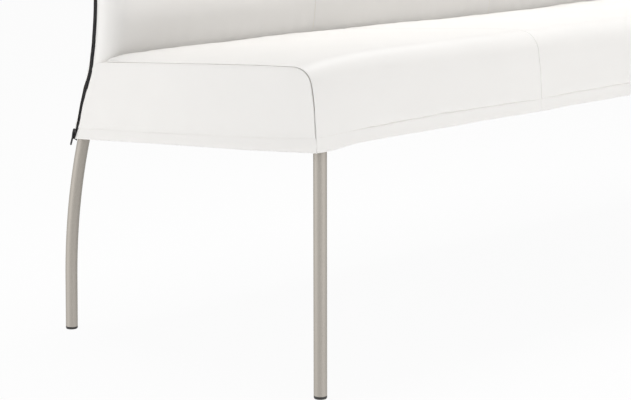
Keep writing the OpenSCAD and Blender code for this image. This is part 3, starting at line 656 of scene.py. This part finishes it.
def seat_rows(x, q, low_w=None):
    """The seat's surface as a grid (rows along the bench, points from the hem's crease, or
    from the height low_w, to the back)."""
    x, q = x[:, None], q[:, None]
    h = seat_top(x, q)
    end = seat_end_u(x, q)
    start = end - FALL_RUN
    low = SEAT_T - FRONT_H
    base = front_crease(x) if low_w is None else low_w + 0 * x
    k = np.array([0, 0.006, 0.015, 0.03, 0.055, 0.09, 0.14, 0.21, 0.3, 0.42, 0.56, 0.7, 0.85])
    face_w = base + (low - base) * k[None, :]
    face_u = q + corner_ease(x) + round_ease(face_w)
    # the front round, squarer than a quarter ellipse
    a = np.radians(np.linspace(0, 90, 25))[None, :]
    round_u = FRONT_D - (FRONT_D - q - corner_ease(x)) * np.abs(np.cos(a)) ** (1 / FRONT_SQUARE)
    round_w = low + (h + top_rise(round_u) - low) * np.sin(a) ** (1 / FRONT_SQUARE)
    round_u = round_u + round_ease(round_w)
    # the top, up to where it falls toward the back
    k = np.linspace(0, 1, 70)[None, 1:]
    top_u = FRONT_D + (start - FRONT_D) * k
    lift = end_lift(x)
    k = np.clip((top_u - start + LIFT_RUN) / LIFT_RUN, 0, 1)
    top_w = h + top_rise(top_u) + np.maximum(lift, 0) * k * k * (3 - 2 * k)
    k = np.concatenate([np.linspace(0, 0.8, 9)[1:], [0.87, 0.92, 0.96, 0.985, 1.0]])[None, :]
    fall_u = start + FALL_RUN * k
    fall_w = h - (seam_drop(x) - np.minimum(lift, 0)) * (1 - np.sqrt(np.clip(1 - k * k, 0, 1)))
    fall_w = fall_w + np.maximum(lift, 0) + top_rise(fall_u) * (1 - k ** 4)
    u = np.concatenate([face_u, round_u + 0 * x, top_u, fall_u], 1)
    w = np.concatenate([face_w, round_w, top_w, fall_w], 1)
    return u, w


def inturn(d, reach, depth):
    """How far a sheet turns in at distance d from its edge."""
    k = np.clip(1 - d / reach, 0, 1)
    return depth * (1 - np.sqrt(np.clip(1 - k * k, 0, 1)))


def seat_section(part, x, q):
    u, w = seat_rows(x, q)
    xx = x[:, None] + 0 * u
    m = mirrored(xx)
    crease = front_crease(xx)
    # small waves of the padding, less toward the sides, and closer ones by the back
    soft = grown(m, 0.05)
    back_near = np.exp(-np.clip(u[:, -1:] - u, 0, 1) / 0.05)
    lift = soft * (0.0007 * waves(xx, u, 3, 0.30) + 0.0003 * waves(xx, u, 4, 0.09))
    tension = back_near * soft * 0.0005 * waves(xx, u * 0.2, 5, 0.035)
    top = np.clip((u - FACE_D) / (FRONT_D - FACE_D), 0, 1)
    # the seam across the top is fainter than down the front
    seam_share = 0.7
    at_seam = np.where(m > SEAT_SEAM / 2, q[:, None], 0)
    w = w + (lift + tension + seam_share * at_seam - front_fall(xx, u)) * top
    # the front face swells above the hem's crease, where the sheet turns in
    swell_h, swell_at = 0.0018, 0.012
    turn_reach, turn_depth = 0.003, 0.0022
    d = np.clip(w - crease, 0, 1)
    face = np.clip(1 - u / FACE_D, 0, 1)
    fold = front_fold(xx)
    swell = swell_h * fold * bump_at(d, swell_at, swell_at)
    u = u - face * (swell + 0.0004 * waves(xx, w, 6, 0.12) * soft * np.clip(d / 0.02, 0, 1))
    u = u + face * fold * inturn(d, turn_reach, turn_depth) * (d < turn_reach)
    obj = grid(f"seat_top_{part}", along(xx, seat_pt(u, w)), COVER, flip=True)
    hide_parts(f"seat_cover_{part}")


for part, (x, q) in SEAT_SECTIONS.items():
    seat_section(part, x, q)


# Side panels


def profile_top(t):
    """(u, w) along the side panel's upper edge, t from 0 at the front to 1 at the zip."""
    x0 = np.array([0.0])
    u, w = seat_rows(x0, x0)
    u, w = u[0], w[0]
    end = zip_edge(seat_end_w(x0, 0.0))[0]
    u = np.append(u[u < seat_u(end) - 0.001], seat_u(end))
    w = np.append(w[:len(u) - 1], seat_w(end))
    s = np.append(0, np.cumsum(np.hypot(np.diff(u), np.diff(w))))
    return np.interp(t * s[-1], s, u), np.interp(t * s[-1], s, w)


def seam_path(t, inset):
    """Points a distance inside the side panel's upper edge, with its ends kept."""
    u, w = profile_top(t)
    du, dw = np.gradient(u), np.gradient(w)
    size = np.hypot(du, dw)
    return u + inset * dw / size, w - inset * du / size * (t > 0.02)


def side_points(rows=56, cols=190):
    """(u, w) over the side panel, the lines of its upper and lower edge, and t along them."""
    below = [0, 0.0006, 0.0013, 0.0022, 0.0035, 0.005, 0.007]
    above = np.array([0, 0.004, 0.01, 0.02, 0.035, 0.05, 0.08, 0.12, 0.17, 0.23, 0.3, 0.4])
    v = 1 - np.unique(np.concatenate([below, np.linspace(0.01, 0.5, rows), 1 - above]))
    t = np.sort(np.concatenate([np.linspace(0, 1, cols), [0.002, 0.004, 0.992, 0.996]]))
    tu, tw = seam_path(t, ROLL_IN[-1])
    # the lower edge keeps in step with the upper one over the front round
    bu = np.interp(tu, [tu[0], tu[-1]], [tu[0], hem_end(0.0)])
    bw = side_crease(bu)
    v = v[:, None]
    u = bu + (tu - bu) * v
    w = bw + (tw - bw) * v
    a = np.clip((t[None, :] - 0.8) / 0.2, 0, 1) ** 3
    edge = seat_u(zip_edge(w[:, -1]))[:, None]
    u = u + a * (edge - u[:, -1:])
    return u, w, tu, tw, bw, t


def side_panel(right):
    side = SIDES[right]
    u, w, tu, tw, bw, t = side_points()
    from_top = np.full(u.shape, 1.0)
    for i in range(len(u)):
        from_top[i] = np.min(np.hypot(u[i][:, None] - tu[None, :], w[i][:, None] - tw[None, :]), 1)
    from_top = np.minimum(from_top, u - tu[0])
    from_crease = np.clip(w - bw, 0, 1)
    from_zip = np.clip(seat_u(zip_edge(w.ravel())).reshape(w.shape) - u, 0, 1)
    d = np.minimum(from_top, from_zip)
    # fullness away from the edges, more of it over the hem's crease, and small waves
    full_h, full_reach = 0.0016, 0.012
    swell_h, swell_at = 0.0011, 0.010
    turn_reach, turn_depth = 0.004, 0.0016
    inner = grown(d, 0.02)
    out = full_h * grown(d, full_reach)
    out = out + swell_h * bump_at(from_crease, swell_at, swell_at) * inner
    out = out + inner * (0.0006 * waves(u, w, 21 + right, 0.16)
                         + 0.00025 * waves(u, w, 23 + right, 0.05))
    x = side_fold(u) * inturn(from_crease, turn_reach, turn_depth) * (from_crease < turn_reach) - out
    # the edge turned in at the seam
    roll = [seam_path(t, a) for a in ROLL_IN[:-1]]
    u = np.concatenate([np.array([r[0] for r in roll]), u])
    w = np.concatenate([np.array([r[1] for r in roll]), w])
    x = np.concatenate([ROLL_DOWN[:-1, None] + 0 * t, x])
    obj = grid(f"side_cover_{side}", flipped(along(x, seat_pt(u, w)), right), COVER, flip=bool(right))
    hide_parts(f"side_panel_{side}")


for right in (0, 1):
    side_panel(right)


# Backrest


def back_rows(x, q):
    """Rows of the back's front surface, (s, n), and where its rounded top edge begins, with
    that edge's half depth and angles."""
    x1, q1 = x[:, None], q[:, None]
    n = front_n(x1, q1)
    low_tuck = TUCK * np.clip((mirrored(x1) - 2 * COVER_T) / TUCK, 0, 1)
    low = rise_to(seat_end_w(x1, 0.0) + GAP - low_tuck, front_n(x1))
    s = cap_s(x1, q1)
    h = half_depth(x1, q1)
    k = np.concatenate([np.linspace(0, 0.12, 14), np.linspace(0.12, 1, 66)[1:]])[None, :]
    ss = low + (s - low) * k
    nn = n + 0 * ss
    a = np.radians(np.linspace(0, 180, 33)[1:])[None, :]
    return ss, nn, s, h, a


def back_section(part, x, q):
    ss, nn, s, h, a = back_rows(x, q)
    xx = x[:, None] + 0 * ss
    m = mirrored(xx)
    soft = grown(np.clip(m - 0.01, 0, 1), 0.04)
    up = ss - ss[:, :1]
    above = up - TUCK
    # the seams between the sections fade toward the seat
    faint = (1 - 0.20 * np.clip((above - 0.037) / 0.018, 0, 1)
             - 0.05 * np.clip((above - 0.012) / 0.02, 0, 1))
    faint = np.where(m > 0.02, faint, 0)
    nn = nn + faint * (front_n(xx) - nn) * (up > TUCK / 2)
    # padding, and small ruffles where the cover goes down behind the seat
    near_seat = bump_at(above, 0, 0.035)
    near_seam = np.exp(-np.abs(m - BACK_SEAM) / 0.03)
    puff = 0.0012 * waves(xx, ss, 31, 0.30) + 0.0004 * waves(xx, ss, 32, 0.10)
    ruffle = near_seat * (0.0007 + 0.0016 * near_seam) * waves(xx, ss * 0.25, 33, 0.030)
    nn = nn + soft * (puff + ruffle) * np.clip(up / 0.03, 0, 1)
    nn = nn + (edge_front(ss) - EDGE_N) * (1 - share(m, SIDE_ROUND))
    wave_top = (soft * puff)[:, -1:]
    cs = s + cap_h(x[:, None], q[:, None]) * np.sin(a)
    cn = nn[:, -1:] - (h + wave_top / 2) + (h + wave_top / 2) * np.cos(a)
    pts = along(x[:, None], np.concatenate([on_line(ss, nn), on_line(cs, cn)], 1))
    obj = grid(f"back_front_{part}", pts, COVER, flip=True)
    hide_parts(f"back_cover_{part}")


for part, (x, q) in BACK_SECTIONS.items():
    back_section(part, x, q)


CORNER_END = 1.5 * REAR_BASE   # where the close columns at a rear corner end


def rear_x():
    """Places along the bench of the rear cover's columns, close together at its corners."""
    half = list(np.linspace(0, CORNER_END, 16)) + spaced(CORNER_END + 0.006, L / 2, 0.02)
    return np.array(half + [L - v for v in half[::-1][1:]])


def rear_cover():
    xs = rear_x()
    top = cap_s(xs) - GAP
    w0 = rise_to(np.zeros(len(xs)), rear_n(xs, np.full(len(xs), 0.02)))
    k = np.concatenate([[0, 0.004, 0.01], np.linspace(0.02, 1, 90)])
    ss = w0[None, :] + (top - w0)[None, :] * k[:, None]
    # columns keep their share of the corner's slant as the depth changes
    xm = mirrored(xs)[None, :] + 0 * ss
    xr = np.where(xm <= CORNER_END, xm / REAR_BASE * (rear_depth(ss) - EDGE_N), xm)
    xr = np.maximum(xr, GAP / 2)
    nn = rear_n(xr, ss)
    nn = nn - grown(xr, 0.05) * 0.0006 * waves(xs[None, :] + 0 * ss, ss, 41, 0.3)
    x = np.where(xs[None, :] > L / 2, L - xr, xr)
    # the sheet turns in above the hem's crease
    turn_reach, turn_depth = 0.003, 0.002
    nn = nn + inturn(np.clip(ss - w0[None, :], 0, turn_reach), turn_reach, turn_depth)
    pts = along(x, on_line(ss, nn))
    obj = grid("rear_cover", pts, COVER)
    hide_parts("rear_panel")


rear_cover()


# Hem

BAND_T = 0.0019
BAND_IN, BAND_DOWN = 0.0001, 0.00005    # its upper edge, behind and below the cover's
HEM_WAVE, HEM_WAVE_DOWN = 0.0005, 0.3   # its waves, and their share up and down


def band(node, top, bottom, out, fold):
    """A folded strip of the cover: top and bottom are (n, 3) lines on its outer face, out the
    outward normals, and fold how far its upper edge turns in."""
    half = BAND_T / 2
    k = np.array([0, 0.006, 0.03, 0.08, 0.2, 0.4, 0.6, 0.8, 0.9, 0.95])
    turn = np.array([0.0014, 0.0011, 0.0005, 0.0001, 0, 0.0002, 0.0002, 0.0001, 0, 0])
    down = bottom - top
    length = np.linalg.norm(down, axis=1, keepdims=True)
    unit = down / length
    end = bottom - unit * half
    outer = [top + down * a - out * b * (fold[:, None] if a < 0.1 else 1) for a, b in zip(k, turn)]
    rounded = [end - out * half * (1 - math.cos(a)) + unit * half * math.sin(a)
               for a in np.radians([30, 60, 90, 120, 150, 180])]
    inner = [top + down * a - out * BAND_T for a in (0.9, 0.5, 0.02)]
    obj = tube_grid(node.replace("hem_", "hem_band_"), np.stack(outer + rounded + inner, 1), COVER)
    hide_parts(node)


def front_hem_band():
    ends, ends_roll = ROLL_IN[2:], ROLL_DOWN[2:]
    near = np.array([-0.004, -0.002, -0.001, -0.0004, 0, 0.0004, 0.001, 0.002, 0.004])
    mid = [v for v in spaced(0.0045, L - 0.0045, 0.006) if abs(mirrored(v) - SEAT_SEAM) > 0.005]
    mid = np.sort(np.concatenate([mid, SEAT_SEAM + near, L - SEAT_SEAM + near]))
    x = np.concatenate([ends, mid, L - ends[::-1]])
    roll = np.concatenate([ends_roll, np.zeros(len(mid)), ends_roll[::-1]])
    roll = roll + 0.0012 * bump_at(mirrored(x), SEAT_SEAM, 0.0006)
    wave = HEM_WAVE * waves(x, 0 * x, 51, 0.08) * grown(mirrored(x), 0.04)
    roll = roll + corner_ease(x)
    top = along(x, seat_pt(BAND_IN + roll, front_crease(x) - BAND_DOWN))
    low = along(x, seat_pt(wave + roll, -HEM_H + front_hem(x) + HEM_WAVE_DOWN * wave))
    out = np.tile([0, -math.cos(SLOPE), math.sin(SLOPE)], (len(x), 1))
    band("hem_front", top, low, out, front_fold(x))


def side_hem_band(right):
    side = SIDES[right]
    k = np.linspace(0, 1, 90)[1:]
    top_u = np.concatenate([ROLL_IN[2:], k * hem_end(0.0)])
    low_u = np.concatenate([ROLL_IN[2:], k * hem_end(SIDE_HEM[-1] - HEM_H)])
    roll = np.concatenate([ROLL_DOWN[2:], np.zeros(len(k))])
    wave = HEM_WAVE * waves(top_u, 0 * top_u, 55 + right, 0.09) * np.clip(top_u / 0.05, 0, 1)
    top = along(roll + BAND_IN, seat_pt(top_u, side_crease(top_u) - BAND_DOWN))
    low = along(roll - wave, seat_pt(low_u, -HEM_H + side_hem(low_u) + HEM_WAVE_DOWN * wave))
    out = np.tile([-1.0, 0, 0], (len(k) + len(ROLL_IN[2:]), 1))
    # the two ends' strips run in opposite directions, so that both face outward
    order = slice(None, None, 1 if right else -1)
    top, low, out = (flipped(a, right)[order] for a in (top, low, out))
    band(f"hem_{side}", top, low, out, side_fold(top_u)[order])


def rear_hem_band():
    xs = rear_x()
    s_top = rise_to(np.full(len(xs), -GAP / 2), rear_n(xs, np.full(len(xs), 0.02)))
    s_low = rise_to(np.full(len(xs), -HEM_H), rear_n(xs, np.full(len(xs), 0.0)))
    top, low = (along(xs, on_line(s, rear_n(xs, s))) for s in (s_top, s_low))
    out = np.cross(low - top, np.gradient(top, axis=0))
    out /= np.linalg.norm(out, axis=1, keepdims=True)
    out *= np.where(out[:, 1:2] < 0, -1, 1)
    band("hem_rear", top[::-1], low[::-1], out[::-1], 0 * xs + 0.5)


front_hem_band()
for right in (0, 1):
    side_hem_band(right)
rear_hem_band()


# Zips

ZIP_START = 0.002
TAPE_X, TAPE_T = COVER_T + 0.0001, 0.0006
TAPE_MEET, TAPE_SHORT = 0.0004, 0.0002  # from the teeth's middle, and from the zip's edge
TAPE_UNDER = 0.004             # of the front tape, below the cover
TEETH_IN = 0.002               # from the tapes' ends
TOOTH_PITCH, TOOTH_H = 0.0015, 0.0012
TOOTH_HALF, TOOTH_OFF, TOOTH_TILT = 0.00135, 0.00085, 0.12


def tooth(center, across_dir, out_dir, along_dir, half_l, half_h, half_t):
    """Points of one coil loop's outer bar: 4 rings of 8 points, the end ones smaller."""
    a = np.radians(np.arange(8) * 45 + 22.5)
    pts = []
    for pos, grow in ((-1.0, 0.55), (-0.7, 1.0), (0.75, 1.0), (1.0, 0.6)):
        for c, s in zip(np.cos(a), np.sin(a)):
            pts.append(center + across_dir * half_l * pos + out_dir * half_h * grow * s
                       + along_dir * half_t * grow * c)
    return pts


def zip_chain(right):
    """The closed teeth, loops from both tapes in turn, along the whole zip."""
    side = SIDES[right]
    start, end = ZIP_START + TEETH_IN, float(cap_s(np.float64(0.0))) - TEETH_IN
    out = np.array([-1.0, 0, 0])
    verts, faces = [], []
    for k in range(int((end - start) / TOOTH_PITCH) * 2):
        s = start + TOOTH_PITCH * k / 2
        sign = 1 if k % 2 else -1
        a = float(lean(s))
        yz = on_line(np.float64(s), np.float64(0.0))
        across = np.array([0, -math.cos(a), -math.sin(a)])
        up = np.array([0, -math.sin(a), math.cos(a)])
        c = np.array([-L / 2 + TAPE_X - TOOTH_H * 0.45, yz[0], yz[1]])
        c = c + across * (sign * TOOTH_OFF + float(zip_shift(s)))
        base = len(verts)
        verts += tooth(c, across + up * TOOTH_TILT * sign, out, up,
                       TOOTH_HALF, TOOTH_H * 0.5, TOOTH_PITCH * 0.2)
        faces += grid_faces(4, 8, base, around=True)
        faces.append(tuple(base + j for j in range(8))[::-1])
        faces.append(tuple(base + 24 + j for j in range(8)))
    if right:
        faces = [q[::-1] for q in faces]
    obj = add_object(f"zip_teeth_{side}", flipped(np.array(verts), right), faces, TEETH)
    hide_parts(f"zip_coil_{side}")


def zip_tapes(right):
    side = SIDES[right]
    s = np.array(spaced(ZIP_START, float(cap_s(np.float64(0.0))) - 0.001, 0.004))
    for part, sign in (("front", 1), ("rear", -1)):
        near = zip_shift(s) + sign * TAPE_MEET
        far = zip_shift(s) + sign * (zip_half(s) + (TAPE_UNDER if sign > 0 else -TAPE_SHORT))
        corners = ((near, TAPE_X), (far, TAPE_X), (far, TAPE_X + TAPE_T), (near, TAPE_X + TAPE_T))
        ring = np.stack([along(x, on_line(s, n)) for n, x in corners], 1)
        obj = tube_grid(f"zip_ribbon_{part}_{side}", flipped(ring, right), TAPE,
                        flip=bool(right) == (sign > 0), smooth=False)
        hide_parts(f"zip_tape_{part}_{side}")


for right in (0, 1):
    zip_chain(right)
    zip_tapes(right)


# Foam, felt and wadding inside

SKIN = COVER_T + GAP
SIDE_IN, PLATE_L = 0.004, 0.056
FOAM_STEP, FOAM_GAP = 0.02, 0.002
HAIR = 0.0001                  # keeps two surfaces apart
BACK_FOAM_W = 0.053            # underside of the back's foam, above the frame's lower edge


def foam_seat():
    x = np.array(spaced(SIDE_IN, L - SIDE_IN, FOAM_STEP))
    u, w = seat_rows(x, np.full(len(x), SKIN + FOAM_GAP), FOAM_W)
    n = front_n(x) + FOAM_GAP
    low = on_line(rise_to(np.full(len(x), FOAM_W), n), n)
    u = np.concatenate([u, seat_u(low)[:, None]], 1)
    w = np.concatenate([w, seat_w(low)[:, None]], 1)
    obj = tube_grid("seat_foam_pad", along(x[:, None], seat_pt(u, w)), FOAM, flip=True)
    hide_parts("seat_foam")


def foam_back():
    x = np.array(spaced(2 * SIDE_IN, L - 2 * SIDE_IN, FOAM_STEP))
    base_n = BACK_FRONT / 3 + 0.005
    q = SKIN + FOAM_GAP
    base_w = np.full(len(x), BACK_FOAM_W)
    n = front_n(x, q)[:, None]
    low = rise_to(base_w, front_n(x, q))[:, None]
    high = cap_s(x, q)[:, None]
    k = np.linspace(0, 1, 40)[None, :]
    ss = low + (high - low) * k
    front = on_line(ss, n + 0 * ss)
    a = np.radians(np.linspace(15, 90, 6))[None, :]
    h = cap_h(x, q)[:, None] * 0.65
    cap = on_line(high + h * np.sin(a), base_n + (n - base_n) * np.cos(a))
    low_b = rise_to(base_w, np.full(len(x), base_n))[:, None]
    sb = low_b + (high - low_b) * k[:, ::-1]
    rear = on_line(sb, base_n + 0 * sb)
    pts = along(x[:, None], np.concatenate([front, cap, rear], 1))
    obj = tube_grid("back_foam_pad", pts, FOAM, flip=True)
    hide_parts("back_foam")


def slab(name, outer, inner, mat, **more):
    """A thin solid between two (rows, points, 3) surfaces."""
    return tube_grid(name, np.concatenate([outer, inner[:, ::-1]], 1), mat, **more)


def dust_sheet():
    """The felt under the frame, narrower where the leg plates are."""
    end = float(seat_u(on_line(rise_to(0, 0), 0)))
    n = -(float(rear_depth(rise_to(0, -EDGE_N))) - SKIN - GAP)
    rear_plate = float(seat_u(on_line(rise_to(0, n), n))) - PLATE_L
    inset, reach = 3 * SIDE_IN, SIDE_IN + PLATE_L + HAIR
    xs = [inset, reach, reach + 2 * HAIR] + spaced(reach + 0.01, L - reach - 0.01, 0.03)
    xs = np.array(xs + [L - reach - 2 * HAIR, L - reach, L - inset])
    k = np.linspace(0, 1, 40)[None, :]
    by_plate = (mirrored(xs) <= reach)[:, None]
    first = np.where(by_plate, reach, SIDE_IN)
    last = np.where(by_plate, rear_plate - SIDE_IN - HAIR, end)
    u = first + (last - first) * k
    x = xs[:, None] + 0 * u
    rail_run, plate_run = 0.06, 0.05
    inside = np.clip((u - rail_run) / rail_run, 0, 1)
    inside = inside * np.clip((end - rail_run - u) / rail_run, 0, 1)
    inside = inside * np.clip((mirrored(x) - reach) / plate_run, 0, 1)
    sag = inside * (0.0018 + 0.0005 * waves(x, u, 71, 0.22))
    w = -HAIR / 2 - sag
    thick = COVER_T / 2
    obj = slab("dust_cloth", along(x, seat_pt(u, w)), along(x, seat_pt(u, w - thick)), FELT)
    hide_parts("dust_cover")


def rear_lining():
    """The felt behind the back posts."""
    inset = 3 * SIDE_IN + SIDE_ROUND / 2
    below_top, half, felt_in = 0.07, 0.0006, 0.0030
    xs = np.array(spaced(inset, L - inset, 0.03))
    low, high = float(rise_to(0, 0)), S_TOP - TOP_ROUND * 0.75 - below_top
    s = np.linspace(low, high, 60)[None, :] + 0 * xs[:, None]
    x = xs[:, None] + 0 * s
    n = felt_in - rear_depth(s) + 0.0003 * waves(x, s, 73, 0.20)
    outer, inner = along(x, on_line(s, n - half)), along(x, on_line(s, n + half))
    obj = slab("lining_cloth", outer, inner, FELT, flip=True)
    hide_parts("back_lining")


def side_pad(right):
    """Wadding between the side rail and the side panel, thinner toward its edges."""
    side, pad_t = SIDES[right], 0.0019
    i, j = np.linspace(0, 1, 80)[:, None], np.linspace(0, 1, 14)[None, :]
    w = GAP + (RAIL_H - 2 * GAP) * j + 0 * i
    n = EDGE_N + ZIP_W
    last = seat_u(on_line(rise_to(w, n), n)) - 0.0004
    u = SKIN + GAP + (last - SKIN - GAP) * i
    edge = np.minimum(np.minimum(u - SKIN, last - u), np.minimum(w, RAIL_H - w))
    half = pad_t / 2 * share(edge + 0.0002, 0.004) * (0.93 + 0.05 * waves(u, w, 75, 0.02))
    x = SKIN + pad_t / 2
    outer, inner = (flipped(along(x + d, seat_pt(u, w)), right) for d in (-half, half))
    obj = slab(f"side_pad_{side}", outer, inner, WADDING, flip=bool(right))
    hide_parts(f"side_wadding_{side}")


foam_seat()
foam_back()
dust_sheet()
rear_lining()
for right in (0, 1):
    side_pad(right)


# Finishes of the CAD nodes

FINISH = [
    ("leg_plate_screws", SCREW), ("frame_screws", SCREW), ("seat_board_screws", SCREW),
    ("back_post_screws", SCREW), ("leg_plate", PLATE), ("front_leg", STEEL), ("rear_leg", STEEL),
    ("glide", CAP), ("seat_board", PLY), ("back_board", PLY), ("back_lining", FELT),
    ("dust_cover", FELT), ("side_wadding", WADDING), ("zip_tape", TAPE), ("zip_coil", TEETH),
    ("zip_stops", ZIP_METAL), ("zip_slider", ZIP_METAL), ("zip_pull", ZIP_METAL),
    ("front_rail", WOOD), ("rear_rail", WOOD), ("side_rail", WOOD), ("cross_rail", WOOD),
    ("back_post", WOOD), ("back_top_rail", WOOD), ("seat_foam", FOAM), ("back_foam", FOAM),
]
for name, node in NODES.items():
    mat = next((m for key, m in FINISH if name.startswith(key)), COVER)
    node.data.materials.clear()
    node.data.materials.append(mat)


# Floor, light and background

WHITE = (1, 1, 1, 1)
FLOOR_HALF = 12
SEEN_WHITE = 0.95              # the rest of the floor's look is its own, with the bench's shadow
WORLD_LIGHT = 0.35
FLOOR_GREY, FLOOR_ROUGH = 0.86, 0.9
FLOOR_DOWN = 0.0002            # clear of the caps' soles


def seen_ray(nodes, links, share_of=1.0):
    """1 where the camera looks, straight, in a reflection or through something, times a share."""
    path = nodes.new("ShaderNodeLightPath")
    last = path.outputs["Is Camera Ray"]
    for ray in ("Is Glossy Ray", "Is Transmission Ray"):
        either = add_node(nodes, "ShaderNodeMath", operation="MAXIMUM")
        links.new(last, either.inputs[0])
        links.new(path.outputs[ray], either.inputs[1])
        last = either.outputs["Value"]
    part = add_node(nodes, "ShaderNodeMath", operation="MULTIPLY")
    links.new(last, part.inputs[0])
    part.inputs[1].default_value = share_of
    return part.outputs["Value"]


def floor_plane():
    me = bpy.data.meshes.new("floor")
    s = FLOOR_HALF
    me.from_pydata([(-s, -s, 0), (s, -s, 0), (s, s, 0), (-s, s, 0)], [], [(0, 1, 2, 3)])
    floor = bpy.data.objects.new("floor", me)
    floor.location.z = -FLOOR_DOWN
    SCENE.collection.objects.link(floor)
    m, nodes, links, b = new_material("floor_white", (FLOOR_GREY,) * 3 + (1,), FLOOR_ROUGH)
    light = add_node(nodes, "ShaderNodeEmission", Strength=1.0, Color=WHITE)
    mix = nodes.new("ShaderNodeMixShader")
    links.new(seen_ray(nodes, links, SEEN_WHITE), mix.inputs["Fac"])
    links.new(b.outputs["BSDF"], mix.inputs[1])
    links.new(light.outputs["Emission"], mix.inputs[2])
    links.new(mix.outputs["Shader"], nodes["Material Output"].inputs["Surface"])
    me.materials.append(m)


def studio_world():
    world = bpy.data.worlds.new("studio")
    SCENE.world = world
    world.use_nodes = True
    nodes, links = world.node_tree.nodes, world.node_tree.links
    bg = nodes["Background"]
    bg.inputs["Color"].default_value = WHITE
    bg.inputs["Strength"].default_value = WORLD_LIGHT
    white = add_node(nodes, "ShaderNodeBackground", Strength=1.0, Color=WHITE)
    mix = nodes.new("ShaderNodeMixShader")
    links.new(seen_ray(nodes, links), mix.inputs["Fac"])
    links.new(bg.outputs["Background"], mix.inputs[1])
    links.new(white.outputs["Background"], mix.inputs[2])
    links.new(mix.outputs["Shader"], nodes["World Output"].inputs["Surface"])


def lamp(name, place, target, size, power):
    """A white area lamp at a place, turned to a target, with its size in metres and watts."""
    data = bpy.data.lights.new(name, "AREA")
    data.shape = "RECTANGLE"
    data.size, data.size_y = size
    data.energy = power
    obj = bpy.data.objects.new(name, data)
    SCENE.collection.objects.link(obj)
    obj.location = place
    obj.rotation_euler = (Vector(target) - Vector(place)).to_track_quat("-Z", "Y").to_euler()
    obj.visible_camera = False


floor_plane()
studio_world()
lamp("top_softbox", (0.0, 0.10, 2.4), (0.0, -0.05, 0.5), (2.6, 0.9), 33.2)
lamp("left_softbox", (-3.0, 0.90, 0.35), (-0.95, 0.05, 0.42), (1.2, 0.6), 22.8)
lamp("front_softbox", (-0.3, -2.9, 0.20), (-0.1, -0.3, 0.40), (3.4, 0.36), 31.2)
lamp("back_softbox", (0.0, -2.4, 1.0), (0.0, 0.25, 0.55), (2.4, 0.3), 4.7)

SCENE.view_settings.view_transform = "Standard"
